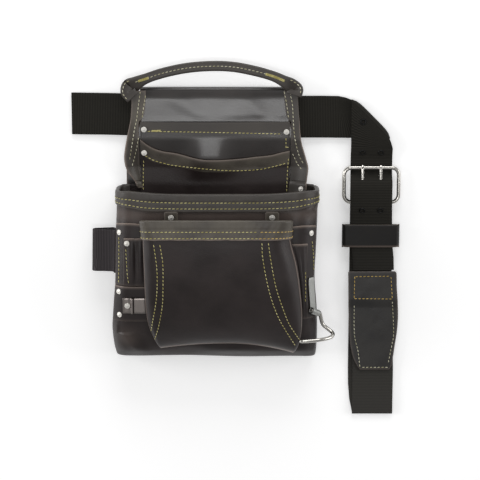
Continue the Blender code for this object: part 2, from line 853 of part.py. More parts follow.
def belt_rows():
    """Rows along the whole belt, from the tongue's end round to the chape's end."""
    half = WEB_WIDTH / 2
    rows = [upright_row(row.y, row.z) for row in STRAP_FRONT]
    corner_low = CORNER_Y - half - 4.0
    corner_left = STRAP_X - half - 4.0
    rows.append(upright_row(corner_low, belt_layer(3)))
    rows += [fold_row(angle, belt_layer(0), belt_layer(3)) for angle in spaced(90, -90, 9)]
    rows.append(level_row(corner_left, belt_layer(0)))
    rows.append(level_row(PANEL_HALF + 40.0, belt_layer(0)))
    rows.append(level_row(PANEL_HALF + 14.0, TUNNEL_BASE + belt_layer(0)))
    rows.append(level_row(-PANEL_HALF - 14.0, TUNNEL_BASE + belt_layer(0)))
    rows.append(level_row(-PANEL_HALF - 40.0, belt_layer(0)))
    turn = (belt_layer(1) - belt_layer(0)) / 2
    for angle in spaced(-90, 90, 7):
        reach = turn * math.cos(math.radians(angle))
        z = belt_layer(0) + turn + turn * math.sin(math.radians(angle))
        rows.append(level_row(BELT_LEFT + turn + WEB / 2 - reach, z))
    rows.append(level_row(-PANEL_HALF - 40.0, belt_layer(1)))
    rows.append(level_row(-PANEL_HALF - 14.0, TUNNEL_BASE + belt_layer(1)))
    rows.append(level_row(PANEL_HALF + 14.0, TUNNEL_BASE + belt_layer(1)))
    rows.append(level_row(PANEL_HALF + 40.0, belt_layer(1)))
    rows.append(level_row(corner_left, belt_layer(1)))
    rows += [fold_row(angle, belt_layer(1), belt_layer(2)) for angle in spaced(-90, 90, 7)]
    rows.append(upright_row(corner_low, belt_layer(2)))
    rows.append(upright_row(corner_low - 5.0, belt_layer(2) - 0.8))
    rows.append(upright_row(FRAME_TOP + 16.0, belt_layer(0) + 0.6))
    rows.append(upright_row(FRAME_TOP + 10.0, belt_layer(0)))
    rows.append(upright_row(HEEL_BAR, belt_layer(0)))
    for angle in spaced(90, 270, 7):
        y = turn * math.cos(math.radians(angle))
        z = turn * math.sin(math.radians(angle))
        rows.append(upright_row(STRAP_BOTTOM + turn + WEB / 2 + y, belt_layer(0) + turn - z))
    raised = KEEPER_WALL + GAP
    rows.append(upright_row(KEEPER_TOP - KEEPER_HEIGHT - 16.0, belt_layer(1)))
    rows.append(upright_row(KEEPER_TOP - KEEPER_HEIGHT - 4.0, belt_layer(1) + raised))
    rows.append(upright_row(KEEPER_TOP + 3.0, belt_layer(1) + raised))
    rows.append(upright_row(KEEPER_TOP + 14.0, belt_layer(1) + 0.1))
    wrap = BAR / 2 + GAP + WEB / 2
    for angle in spaced(-90, 90, 11):
        turned = math.radians(angle)
        rows.append(upright_row(HEEL_BAR + wrap * math.cos(turned), heel_centre() + wrap * math.sin(turned)))
    rows.append(upright_row(HEEL_BAR - 8.0, belt_layer(1) + WEB + BAR + 2 * GAP - 0.9))
    rows.append(upright_row(HEEL_BAR - 17.0, belt_layer(2) + raised + 0.8))
    rows.append(upright_row(KEEPER_TOP + 3.0, belt_layer(2) + raised))
    rows.append(upright_row(KEEPER_TOP - KEEPER_HEIGHT - 4.0, belt_layer(2) + raised))
    rows.append(upright_row(KEEPER_TOP - KEEPER_HEIGHT - 16.0, belt_layer(2)))
    rows.append(upright_row(CHAPE_END, belt_layer(2)))
    return rows


def box_into(mesh, centre, size, tilt=0.0):
    """Add a box to a cutter's mesh, tilted about X."""
    made = bmesh.ops.create_cube(mesh, size=1.0)
    for vert in made["verts"]:
        local = Vector((vert.co.x * size[0], vert.co.y * size[1], vert.co.z * size[2]))
        y = local.y * math.cos(tilt) - local.z * math.sin(tilt)
        z = local.y * math.sin(tilt) + local.z * math.cos(tilt)
        vert.co = Vector((centre[0] + local.x, centre[1] + y, centre[2] + z))


def prong_places():
    return (STRAP_X - PRONG_SPREAD / 2, STRAP_X + PRONG_SPREAD / 2)


def eyelet_places():
    left, right = prong_places()
    places = [(left, EYELET_LONE_ROW)]
    for y in EYELET_ROWS:
        places += [(left, y), (right, y)]
    return places


def prong_height():
    return heel_centre() + BAR / 2 + GAP + PRONG_THICK / 2


def build_belt():
    belt = sheet("belt_webbing", belt_rows(), WEB, "webbing", offset=0.0)
    mesh = bmesh.new()
    for x, y in eyelet_places():
        height, slope = strap_place(y)
        tilt = math.atan(slope)
        made = bmesh.ops.create_cone(
            mesh, cap_ends=True, segments=8, radius1=EYELET_HOLE / 2, radius2=EYELET_HOLE / 2,
            depth=WEB + GAP)
        for vert in made["verts"]:
            y_turned = vert.co.y * math.cos(tilt) - vert.co.z * math.sin(tilt)
            z_turned = vert.co.y * math.sin(tilt) + vert.co.z * math.cos(tilt)
            vert.co = Vector((x + vert.co.x, y + y_turned, height + z_turned))
    clear = 2 * GAP
    high = STRAP_FRONT[7]
    low = STRAP_FRONT[8]
    slope = (high.z - low.z) / (high.y - low.y)
    tilt = math.atan(slope)
    crossing = low.y + (prong_height() - low.z) / slope
    hole = ((PRONG_THICK + clear) + WEB * math.cos(tilt)) / abs(math.sin(tilt)) + 2 * clear
    slot_low = belt_layer(0) + WEB / 2 + GAP / 2
    slot_high = STRAP_FRONT[6].z - WEB / 2 - GAP / 2
    for x in prong_places():
        box_into(mesh, (x, crossing, prong_height()), (PRONG_WIDTH + 2 * clear, hole, 3 * WEB), tilt)
        box_into(
            mesh, (x, HEEL_BAR, (slot_low + slot_high) / 2),
            (PRONG_WIDTH + 2 * clear, 2 * (BAR / 2 + GAP + PRONG_THICK + clear), slot_high - slot_low))
    cutter = finish("belt_cutter", mesh, "webbing")
    cutter.hide_render = True
    cutter.display_type = "WIRE"
    cut = belt.modifiers.new("Holes", "BOOLEAN")
    cut.operation = "DIFFERENCE"
    cut.solver = "EXACT"
    cut.object = cutter


def build_eyelets():
    inner = EYELET_HOLE / 2
    outer = EYELET_OUTER / 2
    profile = [(inner, 0.0), (outer, 0.0), (outer - 0.3, EYELET_HEIGHT * 0.7),
               ((inner + outer) / 2, EYELET_HEIGHT), (inner, EYELET_HEIGHT * 0.6)]
    for index, (x, y) in enumerate(eyelet_places()):
        height, slope = strap_place(y)
        axis = Vector((0.0, -slope, 1.0)).normalized()
        seat = Vector((x, y, height)) + axis * (WEB / 2 + GAP)
        lathe(f"eyelet_{index + 1}", profile, seat, axis, "blackened", ring=True)


def build_buckle():
    centre = Vector((STRAP_X, (FRAME_TOP + HEEL_BAR) / 2, heel_centre()))
    half_x = FRAME_WIDTH / 2 - FRAME_ROUND
    half_y = (FRAME_TOP - HEEL_BAR) / 2 - FRAME_ROUND
    line = []
    for corner, (sx, sy) in enumerate(((1, 1), (-1, 1), (-1, -1), (1, -1))):
        for angle in spaced(90 * corner, 90 * corner + 90, 5):
            turn = math.radians(angle)
            x = sx * half_x + FRAME_ROUND * math.cos(turn)
            y = sy * half_y + FRAME_ROUND * math.sin(turn)
            line.append(centre + Vector((x, y, 0.0)))
    wire("buckle_frame", line, BAR / 2, "nickel", closed=True)
    reach = BAR / 2 + GAP + PRONG_THICK / 2
    for name, x in zip(("buckle_prong_left", "buckle_prong_right"), prong_places()):
        path = []
        for angle in spaced(-60, -270, 12):
            turn = math.radians(angle)
            y = HEEL_BAR + reach * math.cos(turn)
            path.append(Vector((x, y, heel_centre() + reach * math.sin(turn))))
        tip = FRAME_TOP + PRONG_OVERHANG
        path.append(Vector((x, (HEEL_BAR + tip) / 2, prong_height())))
        path.append(Vector((x, tip - 3.0, prong_height())))
        path.append(Vector((x, tip, prong_height())))
        loops = []
        for index, point in enumerate(path):
            ahead = (path[min(index + 1, len(path) - 1)] - path[max(index - 1, 0)]).normalized()
            out = Vector((0.0, -ahead.z, ahead.y))
            width = PRONG_WIDTH / 2 * (0.6 if index == len(path) - 1 else 1.0)
            thick = PRONG_THICK / 2
            loops.append([
                point + Vector((-width, 0, 0)) - out * thick, point + Vector((width, 0, 0)) - out * thick,
                point + Vector((width, 0, 0)) + out * thick, point + Vector((-width, 0, 0)) + out * thick])
        loft(name, loops, "nickel")


def build_keeper():
    """A leather loop round the tongue and the chape."""
    low = belt_layer(0) + WEB / 2 + GAP
    high = STRAP_FRONT[2].z + WEB / 2 + GAP + KEEPER_WALL
    half = KEEPER_WIDTH / 2
    rise = (high - low) / 2
    middle = (high + low) / 2
    loops = []
    y_top = KEEPER_TOP
    y_low = KEEPER_TOP - KEEPER_HEIGHT
    for side in (1, -1):
        for angle in spaced(-90, 90, 9):
            turn = math.radians(angle * side)
            out = Vector((side * math.cos(turn), 0.0, math.sin(turn)))
            centre = Vector((STRAP_X + side * (half - rise), 0.0, middle))
            outer = centre + out * rise
            inner = centre + out * (rise - KEEPER_WALL)
            loops.append([
                Vector((outer.x, y_top, outer.z)), Vector((outer.x, y_low, outer.z)),
                Vector((inner.x, y_low, inner.z)), Vector((inner.x, y_top, inner.z))])
    loft("keeper", loops, "leather", closed=True)


def build_belt_patch():
    """The leather sewn over the chape, stepping down where the chape ends."""
    rows = []
    places = [PATCH_TOP - row.down * PATCH_LENGTH for row in BELT_PATCH]
    step = (CHAPE_END - 2.0, CHAPE_END - 14.0)
    places = [y for y in places if not step[1] - 4.0 < y < step[0] + 4.0] + list(step)
    for y in sorted(places, reverse=True):
        row = at(BELT_PATCH, (PATCH_TOP - y) / PATCH_LENGTH)
        layer = belt_layer(2) if y >= step[0] else belt_layer(1)
        left = STRAP_X - row.left * PATCH_HALF
        right = STRAP_X + row.right * PATCH_HALF
        rows.append([Vector((x, y, layer + WEB / 2 + GAP)) for x in spaced(left, right, 5)])
    sheet("belt_patch", rows, LEATHER, "leather", offset=1.0)


def build_web_loop():
    """A webbing loop for a tool, its ends sewn to the pouch's side."""
    y_top = LOOP_TOP
    y_low = LOOP_TOP - LOOP_WIDTH
    wall_top = pouch_section(y_top)
    wall_low = pouch_section(y_low)
    high = wall_top.top - wall_top.left_round
    low = wall_top.base + wall_top.low_round
    half = WEB / 2
    shape = table(
        "out height",
        (GAP + half, high),
        (GAP + half, high - 5.0),
        (GAP + half + 4.0, high - 9.0),
        (LOOP_REACH * 0.55, high - 10.5),
        (LOOP_REACH - LOOP_FOLD, high - 11.0),
        (LOOP_REACH - LOOP_FOLD * 0.25, high - 11.0 - LOOP_FOLD * 0.35),
        (LOOP_REACH, high - 11.0 - LOOP_FOLD),
        (LOOP_REACH - LOOP_FOLD * 0.25, high - 11.0 - LOOP_FOLD * 1.65),
        (LOOP_REACH - LOOP_FOLD, high - 11.0 - LOOP_FOLD * 2),
        (LOOP_REACH * 0.55, high - 12.5 - LOOP_FOLD * 2),
        (GAP + half + 4.0, low - 2.0),
        (GAP + half, low + 2.0),
        (GAP + half, low + 7.0),
    )
    rows = []
    for share in (0.0, 1.0):
        y = y_top + (y_low - y_top) * share
        wall = wall_top.left + (wall_low.left - wall_top.left) * share
        rows.append([Vector((wall - row.out, y, row.height)) for row in shape])
    sheet("web_loop", rows, WEB, "webbing", offset=0.0)


def build_tape_clip():
    lift = GAP + LEATHER + GAP
    y_top = CLIP_TOP
    y_low = CLIP_TOP - CLIP_WIDTH
    seat = pouch_section(y_top).top + lift
    tip = front_section((FRONT_POUCH_MOUTH - y_top) / FRONT_POUCH_LENGTH).left + CLIP_TUCK
    line = [
        (CLIP_BASE_X, seat), (CLIP_STEP_X - CLIP_HEEL, seat), (CLIP_STEP_X - 0.6, seat + 0.4),
        (CLIP_STEP_X, seat + CLIP_RISE), (CLIP_STEP_X + 1.0, seat + CLIP_RISE + 0.3),
        (CLIP_STEP_X + 2.4, seat + 1.2), (tip, seat + 0.9)]
    rows = []
    for y in (y_top, y_low):
        rows.append([Vector((x, y, z)) for x, z in line])
    sheet("tape_clip", rows, CLIP_SHEET, "nickel", offset=1.0)


def plate_distance():
    """Distance round the pouch's corner to the hammer plate's middle, clear of the front pouch."""
    return hidden_edge(1, 0.0)(PLATE_TOP - PLATE_LENGTH) + PLATE_CLEAR


def plate_frame():
    """The hammer plate's normal and its width direction."""
    normal = corner_normal(PLATE_TOP - PLATE_LENGTH, 1, plate_distance())
    return normal, Vector((normal.z, 0.0, -normal.x))


def plate_seat(y):
    return corner_point(y, 1, plate_distance(), GAP + LEATHER + GAP + PLATE_SHEET / 2)


def knuckle_line():
    """Two ends of the knuckle's axis, front end first."""
    normal, width = plate_frame()
    low = plate_seat(PLATE_TOP - PLATE_LENGTH)
    reach = WIRE / 2 + GAP + PLATE_SHEET / 2
    half = width * (PLATE_WIDTH / 2)
    slant = Vector((0.0, PLATE_SLANT / 2, 0.0))
    return low + normal * reach - half + slant, low + normal * reach + half - slant


def build_hammer_plate():
    normal, width = plate_frame()
    half = width * (PLATE_WIDTH / 2)
    reach = WIRE / 2 + GAP + PLATE_SHEET / 2
    high = plate_seat(PLATE_TOP)
    shoulder = high - Vector((0.0, PLATE_CORNER, 0.0))
    rows = [[high - half * 0.8, high + half * 0.8], [shoulder - half, shoulder + half]]
    axis_start, axis_end = knuckle_line()
    along = (axis_end - axis_start).normalized()
    down = normal.cross(along).normalized()
    if down.y > 0:
        down = -down
    for angle in spaced(0, PLATE_CURL, 11):
        turn = math.radians(angle)
        spoke = -normal * math.cos(turn) + down * math.sin(turn)
        rows.append([axis_start + spoke * reach, axis_end + spoke * reach])
    sheet("hammer_plate", rows, PLATE_SHEET, "zinc", offset=0.0)


def build_hammer_ring():
    start, end = knuckle_line()
    along = (end - start).normalized()
    points = [start + along, (start + end) / 2, end, end + along * 3.0]
    for row in RING_BACK_LEG:
        points.append(end + Vector((row.out * RING_OUT, -row.down * RING_DROP, -row.dip * RING_DIP)))
    tip = points[-1]
    corner = FRONT_POUCH[-2]
    front = front_section(corner.down)
    foot = FRONT_POUCH_MOUTH - (corner.down + corner.sag) * FRONT_POUCH_LENGTH
    last = Vector((front.right + RING_END_OUT, foot + RING_END_UP, front.top + RING_END_LIFT))
    for row in RING_FRONT_LEG:
        back = tip - last
        points.append(last + Vector((back.x * row.out, back.y * row.down, back.z * (1.0 - row.rise))))
    joint = bpy.data.objects.new("hammer_ring_joint", None)
    joint.location = start * MM
    bpy.context.scene.collection.objects.link(joint)
    bpy.context.view_layer.update()
    ring = wire("hammer_ring", smooth_line(points, 2), WIRE / 2, "nickel", origin=start)
    ring.parent = joint
    ring.matrix_parent_inverse = joint.matrix_world.inverted()


def rivet(name, seat, axis):
    radius = RIVET / 2
    profile = [(radius, 0.0), (radius, RIVET_HEIGHT * 0.35), (radius * 0.8, RIVET_HEIGHT * 0.8),
               (radius * 0.4, RIVET_HEIGHT)]
    lathe(name, profile, seat + axis * GAP, axis, "nickel")


def wing_rivet():
    """The rivet on the right wing's lower end, just inside the main mouth."""
    x = RIGHT_WING[-1].inner * PANEL_HALF + WING_RIVET_IN
    y = WING_TOP - RIGHT_WING[-1].down * WING_LENGTH + RIVET * 0.75
    row = at(RIGHT_WING, (WING_TOP - y) / WING_LENGTH)
    inner = row.inner * PANEL_HALF
    span = PANEL_HALF + row.outer * WING_WIDTH - inner
    share = (x - inner) / span
    height = on_panel(y, 1) + LEATHER + WING_LIFT * row.lift * share ** 2
    slope = 2 * WING_LIFT * row.lift * share / span
    axis = Vector((-slope, 0.0, 1.0)).normalized()
    rivet("rivet_mouth", Vector((x, y, height)) + axis * RIVET_SLACK, axis)


def build_rivets():
    up = Vector((0, 0, 1))
    edge = POCKET_HALF - RIVET / 2
    for row in UPPER_RIVETS:
        height = on_panel(row.y, row.layer) - GAP + RIVET_SLACK
        rivet(row.name, Vector((row.side * edge, row.y, height)), up)
    for name, x in (("rivet_tab_left", TAB_LEFT_X), ("rivet_tab_right", TAB_RIGHT_X)):
        y = TAB_TOP - RIVET
        rivet(name, Vector((x, y, pouch_section(y).top + GAP + LEATHER)), up)
    for row in CORNER_RIVETS:
        seat = corner_point(row.y, row.side, row.distance, row.layers * (LEATHER + GAP))
        rivet(row.name, seat, corner_normal(row.y, row.side, row.distance))
    clip_x = CLIP_STEP_X - CLIP_HEEL - RIVET / 2 - GAP
    clip_base = pouch_section(CLIP_TOP).top + 2 * GAP + LEATHER + CLIP_SHEET
    rivet("rivet_clip", Vector((clip_x, CLIP_TOP - CLIP_WIDTH / 2, clip_base)), up)
    wing_rivet()


def clear_scene():
    for item in list(bpy.data.objects):
        bpy.data.objects.remove(item, do_unlink=True)


def build():
    clear_scene()
    build_back_panel()
    build_upper_pockets()
    build_wing("side_wing_left", LEFT_WING, -1)
    build_wing("side_wing_right", RIGHT_WING, 1)
    build_handle()
    build_main_pouch()
    below = pouch_section(POUCH_MOUTH - RIM_HEIGHT)
    build_rim("main_rim", pouch_section(POUCH_MOUTH), below, POUCH_MOUTH, 15)
    build_front_pouch()
    below = front_section(RIM_HEIGHT / FRONT_POUCH_LENGTH)
    build_rim("front_rim", front_section(0.0), below, FRONT_POUCH_MOUTH, 60)
    build_tabs()
    build_corner_pockets()
    build_web_loop()
    build_tape_clip()
    build_hammer_plate()
    build_hammer_ring()
    build_belt()
    build_eyelets()
    build_buckle()
    build_keeper()
    build_belt_patch()
    build_rivets()


build()
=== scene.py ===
# %% [markdown]
# # A carpenter's nail apron
# The real thing is sewn from waxed cowhide, hung on a two inch web belt and trimmed with nickel
# plated steel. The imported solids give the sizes. Here each soft piece is laid again with a finer
# grid, real folds and a real finish, and it takes the place of its plain solid.

# %% Load the frame
import math

import bmesh
import bpy
from mathutils import Matrix, Vector, noise
from mathutils.bvhtree import BVHTree


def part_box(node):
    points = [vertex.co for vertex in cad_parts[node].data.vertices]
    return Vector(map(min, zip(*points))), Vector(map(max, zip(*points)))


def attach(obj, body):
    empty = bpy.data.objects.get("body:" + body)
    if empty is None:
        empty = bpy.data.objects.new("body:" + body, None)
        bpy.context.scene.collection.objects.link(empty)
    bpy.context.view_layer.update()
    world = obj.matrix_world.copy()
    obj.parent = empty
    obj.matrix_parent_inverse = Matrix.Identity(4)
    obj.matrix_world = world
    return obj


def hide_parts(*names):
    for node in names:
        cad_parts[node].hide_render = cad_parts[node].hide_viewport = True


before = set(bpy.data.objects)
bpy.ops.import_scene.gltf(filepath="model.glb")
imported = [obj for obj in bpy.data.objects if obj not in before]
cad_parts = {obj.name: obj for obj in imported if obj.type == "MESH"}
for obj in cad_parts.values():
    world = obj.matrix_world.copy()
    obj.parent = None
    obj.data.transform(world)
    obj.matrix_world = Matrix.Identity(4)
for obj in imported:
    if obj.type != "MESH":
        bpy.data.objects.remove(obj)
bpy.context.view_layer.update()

MM = 0.001
print("solids:", len(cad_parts))

# %% [markdown]
# ## The camera
# The photograph looks almost straight down on an apron that lies on its back. It could be framed by
# eye, but a measured camera lets a seam be placed by the picture's own pixels. The two inch belt
# gives the scale, and the way the pouches' mouths sink in the picture gives the tilt.

# %% Camera
PICTURE = 480
SCALE = 1.24            # mm to the pixel on the floor
DISTANCE = 2200.0
TILT = math.radians(12.0)
TARGET = Vector((30.4, -157.2, 0.0))
SENSOR = 36.0

to_camera = Vector((0.0, math.sin(TILT), math.cos(TILT)))
eye = TARGET + to_camera * DISTANCE
focal = DISTANCE / SCALE
camera = bpy.data.objects.new("camera", bpy.data.cameras.new("camera"))
camera.data.sensor_width = SENSOR
camera.data.lens = SENSOR * focal / PICTURE
camera.data.clip_end = 20.0
camera.location = eye * MM
camera.rotation_euler = (-TILT, 0.0, 0.0)
bpy.context.scene.collection.objects.link(camera)
bpy.context.scene.camera = camera
bpy.context.scene.view_settings.view_transform = "Standard"
print("lens", round(camera.data.lens, 1), "mm")

# %% [markdown]
# ## Small helpers
# Every shape below comes from a few named sizes and short tables. A table is read on a smooth curve
# between its rows, so that leather doesn't break at a row.

# %% Tables and lines


def read(rows, share):
    """A table's columns at a share of its first column, on a smooth curve through the rows."""
    last = len(rows) - 2
    index = max(i for i in range(last + 1) if i == 0 or rows[i][0] <= share)
    low, high = rows[index], rows[index + 1]
    before, after = rows[max(index - 1, 0)], rows[min(index + 2, last + 1)]
    span = high[0] - low[0]
    t = clamp((share - low[0]) / span)
    found = []
    for a, b, c, d in zip(before[1:], low[1:], high[1:], after[1:]):
        start = (c - a) / (high[0] - before[0]) * span if index else c - b
        end = (d - b) / (after[0] - low[0]) * span if index < last else c - b
        found.append(b + start * t + (3 * (c - b) - 2 * start - end) * t ** 2
                     + (2 * (b - c) + start + end) * t ** 3)
    return found


def spaced(start, end, steps):
    return [start + (end - start) * step / steps for step in range(steps + 1)]


def clamp(value):
    return min(max(value, 0.0), 1.0)


def eased(value):
    """The same share, with a soft start and a soft end."""
    share = clamp(value)
    return share * share * (3 - 2 * share)


def bump_at(x, y, centre, size, height):
    """A soft round swelling, or a dent where height is below zero."""
    return height * math.exp(-((x - centre[0]) / size[0]) ** 2 - ((y - centre[1]) / size[1]) ** 2)


def crease_at(x, y, start, end, width, height):
    """A fold along the line from start to end, fading out at its ends."""
    along = Vector(end) - Vector(start)
    place = Vector((x, y)) - Vector(start)
    share = place.dot(along) / along.length_squared
    across = abs(place.x * along.y - place.y * along.x) / along.length
    fade = math.exp(-(2.0 * share - 1.0) ** 4)
    return height * fade * math.exp(-(across / width) ** 2)


def ripple(x, y, size, height):
    """Slow, uneven waves, as leather has that has been carried about."""
    return height * noise.noise(Vector((x / size, y / size, size)))


print("halfway down a two row table:", read([(0, 0), (1, 10)], 0.5))

# %% [markdown]
# ## Finishes
# The leather is drum dyed, waxed cowhide: nearly black, with a soft grey shine where the wax lies
# thick, a fine pebbled grain and pale fibres at the cut edges. A picture of leather would need a
# file, so noise at the real sizes of grain and wrinkles is used instead. Colours are written as
# they are seen on a screen, and one function turns them into the linear values that Blender needs.

# %% Colour and node helpers


def linear(code):
    """An sRGB hex colour as linear red, green, blue and 1."""
    parts = [int(code[i:i + 2], 16) / 255 for i in (1, 3, 5)]
    return tuple(p / 12.92 if p <= 0.04045 else ((p + 0.055) / 1.055) ** 2.4 for p in parts) + (1.0,)


def add(tree, kind, values=(), links=()):
    """A node with its settings and its links. A key is a socket's name or place, or a setting."""
    made = tree.nodes.new(kind)
    for key, value in dict(values).items():
        if isinstance(key, int) or key in made.inputs:
            made.inputs[key].default_value = value
        else:
            setattr(made, key, value)
    for key, source in dict(links).items():
        tree.links.new(source, made.inputs[key])
    return made


def new_material(name, values):
    material = bpy.data.materials.new(name)
    material.use_nodes = True
    tree = material.node_tree
    shader = tree.nodes["Principled BSDF"]
    for key, value in values.items():
        shader.inputs[key].default_value = value
    return material, tree, shader


print("mid grey is", round(linear("#808080")[0], 3))

# %% [markdown]
# Leather first. Each leather differs in its two dyes, its shine and how far the grain stands up.
# The cut edges are undyed in the middle of the hide, so they show taupe.

# %% Leather
GRAIN = 1.3             # mm, coarser than the real 0.4 mm so that it shows
WRINKLE = 16.0          # mm between the soft wrinkles
MOTTLE = 34.0           # mm across a patch of thicker wax
RELIEF = 0.25           # mm that a pebble stands up, and WRINKLE_HIGH times that for a wrinkle
WRINKLE_HIGH = 4.0
LIGHT_FROM, LIGHT_TO = 0.35, 0.75       # the mottle's values between which the dye goes light
SMOOTHER, ROUGHER = 0.07, 0.09          # how far the shine varies with the wax


def leather(name, dark, light, edge, rough, grain=0.3, wax=0.15, gloss=0.3, shine=0.5):
    material, tree, shader = new_material(
        name, {"IOR": 1.5, "Coat Weight": wax, "Coat Roughness": gloss, "Specular IOR Level": shine})
    place = add(tree, "ShaderNodeTexCoord").outputs["Object"]
    mottle = add(tree, "ShaderNodeTexNoise", {"Scale": 1 / (MOTTLE * MM), "Detail": 4.0}, {"Vector": place})
    dye = add(tree, "ShaderNodeMix", {"data_type": "RGBA", 6: linear(dark), 7: linear(light)},
              {0: add(tree, "ShaderNodeMapRange", {1: LIGHT_FROM, 2: LIGHT_TO}, {0: mottle.outputs[0]}).outputs[0]})
    # The edge attribute mixes in the edge colour: rubbed-off dye along cut edges, and painted light on the main pouch.
    worn = add(tree, "ShaderNodeAttribute", {"attribute_name": "edge"})
    colour = add(tree, "ShaderNodeMix", {"data_type": "RGBA", 7: linear(edge)},
                 {0: worn.outputs["Fac"], 6: dye.outputs[2]})
    tree.links.new(colour.outputs[2], shader.inputs["Base Color"])
    polish = add(tree, "ShaderNodeMapRange", {1: 0.3, 2: 0.7, 3: rough - SMOOTHER, 4: rough + ROUGHER},
                 {0: mottle.outputs[0]})
    tree.links.new(polish.outputs[0], shader.inputs["Roughness"])
    pebble = add(tree, "ShaderNodeTexVoronoi", {"Scale": 1 / (GRAIN * MM)}, {"Vector": place})
    wrinkle = add(tree, "ShaderNodeTexNoise", {"Scale": 1 / (WRINKLE * MM), "Detail": 3.0, "Distortion": 0.6},
                  {"Vector": place})
    height = add(tree, "ShaderNodeMath", {"operation": "MULTIPLY_ADD", 1: WRINKLE_HIGH},
                 {0: wrinkle.outputs[0], 2: pebble.outputs["Distance"]})
    relief = add(tree, "ShaderNodeBump", {"Strength": grain, "Distance": RELIEF * MM}, {"Height": height.outputs[0]})
    tree.links.new(relief.outputs[0], shader.inputs["Normal"])
    return material


EDGE = "#8a7b72"
# The pouches' hide: nearly black, with a broken grey shine.
waxed_leather = leather("waxed_leather", "#221b1a", "#2f2726", EDGE, 0.45, wax=0.06, shine=0.36)
# The upper panel: rubbed smooth, so that it mirrors a soft grey patch of light.
polished_leather = leather("polished_leather", "#221e1c", "#302b29", EDGE, 0.38, grain=0.2, wax=0.6, gloss=0.17)
# Tabs, left wing and front binding: thinner and drier, so greyer and without a clear shine. On the front pocket's band
# its lighter dye is painted light.
soft_leather = leather("soft_leather", "#38322c", "#595349", EDGE, 0.5)
# Main binding, handle and right wing: a step darker than the soft leather.
binding_leather = leather("binding_leather", "#35302c", "#45403b", "#4d4640", 0.52)
# The keeper: black and quiet, so that the buckle beside it looks brighter.
black_leather = leather("black_leather", "#0f0d0c", "#191614", EDGE, 0.5, wax=0.05, shine=0.3)
# The belt's patch: smooth charcoal, a little lighter than the web under it.
patch_leather = leather("patch_leather", "#211f1e", "#302e2b", EDGE, 0.4)
# A sheet's cut edge: undyed fibres, a thin taupe line round each piece.
cut_edge = leather("cut_edge", "#6d625b", "#85786f", "#85786f", 0.8, wax=0.0)
print("leathers made")

# %% [markdown]
# The webbing is woven polypropylene. Its ribs run across it, one each two millimetres, and the warp
# threads pass over them. Ribs have to follow the belt round its folds, so they read the piece's own
# UV map, which holds metres along and across the web.

# %% Webbing
RIB = 2.0               # mm from rib to rib
WARP = 1.4              # mm from warp thread to warp thread
WARP_HIGH = 0.35        # a warp thread's height as a share of a rib's
RIB_HIGH = 0.4          # mm
RUB_TOP, RUB_FOOT = -0.14, -0.36        # metres along y between which the web gets paler
RUBBED_WEB = "#5a5855"


def webbing(name, dark, light, rubbed=0.0):
    """Woven web: dark is the painted shade in the grooves between its ribs and light the painted highlight on their
    tops. rubbed says how pale its lower end has been worn.
    """
    material, tree, shader = new_material(name, {"Roughness": 0.85, "Specular IOR Level": 0.2, "IOR": 1.49})
    place = add(tree, "ShaderNodeUVMap", {"uv_map": "web"}).outputs[0]
    split = add(tree, "ShaderNodeSeparateXYZ", {}, {0: place})
    waves = []
    for socket, size in ((0, RIB), (1, WARP)):
        turn = add(tree, "ShaderNodeMath", {"operation": "MULTIPLY", 1: 2 * math.pi / (size * MM)},
                   {0: split.outputs[socket]})
        waves.append(add(tree, "ShaderNodeMath", {"operation": "SINE"}, {0: turn.outputs[0]}))
    high = add(tree, "ShaderNodeMath", {"operation": "MULTIPLY_ADD", 1: WARP_HIGH},
               {0: waves[1].outputs[0], 2: waves[0].outputs[0]})
    tone = add(tree, "ShaderNodeMapRange", {1: -1.3, 2: 1.3}, {0: high.outputs[0]})
    # The colour follows the ribs' height: painted highlight on their tops and painted shade in the grooves.
    rib_light_and_shade = add(tree, "ShaderNodeMix", {"data_type": "RGBA", 6: linear(dark), 7: linear(light)},
                {0: tone.outputs[0]})
    where = add(tree, "ShaderNodeSeparateXYZ", {}, {0: add(tree, "ShaderNodeTexCoord").outputs["Object"]})
    faded = add(tree, "ShaderNodeMapRange", {1: RUB_TOP, 2: RUB_FOOT, 3: 0.0, 4: rubbed}, {0: where.outputs["Y"]})
    dye = add(tree, "ShaderNodeMix", {"data_type": "RGBA", 7: linear(RUBBED_WEB)},
              {0: faded.outputs[0], 6: rib_light_and_shade.outputs[2]})
    tree.links.new(dye.outputs[2], shader.inputs["Base Color"])
    relief = add(tree, "ShaderNodeBump", {"Strength": 0.55, "Distance": RIB_HIGH * MM}, {"Height": tone.outputs[0]})
    tree.links.new(relief.outputs[0], shader.inputs["Normal"])
    return material


# The belt: black and ribbed, paler where its lower end has rubbed.
belt_webbing = webbing("belt_webbing", "#12110e", "#2d2b26", 0.3)
# The tool loop: a greyer web, with brighter painted highlights on its ribs, so that they show against the hide.
loop_webbing = webbing("loop_webbing", "#1c1a1b", "#4c4749")
print("webbings made")

# %% [markdown]
# The thread is bonded polyester, pale yellow going olive in its shadows. The hardware is steel with
# a bright nickel plate, and the hammer plate is zinc plated, which is greyer and a little frosted.

# %% Thread and metals
THREAD_MOTTLE = 9.0     # mm along a seam from a dark to a light length of thread


def thread(name, dark, light):
    material, tree, shader = new_material(name, {"Roughness": 0.55, "Sheen Weight": 0.2})
    place = add(tree, "ShaderNodeTexCoord").outputs["Object"]
    patch = add(tree, "ShaderNodeTexNoise", {"Scale": 1 / (THREAD_MOTTLE * MM), "Detail": 2.0}, {"Vector": place})
    mix = add(tree, "ShaderNodeMapRange", {1: 0.35, 2: 0.65}, {0: patch.outputs[0]})
    dye = add(tree, "ShaderNodeMix", {"data_type": "RGBA", 6: linear(dark), 7: linear(light)},
              {0: mix.outputs[0]})
    tree.links.new(dye.outputs[2], shader.inputs["Base Color"])
    return material


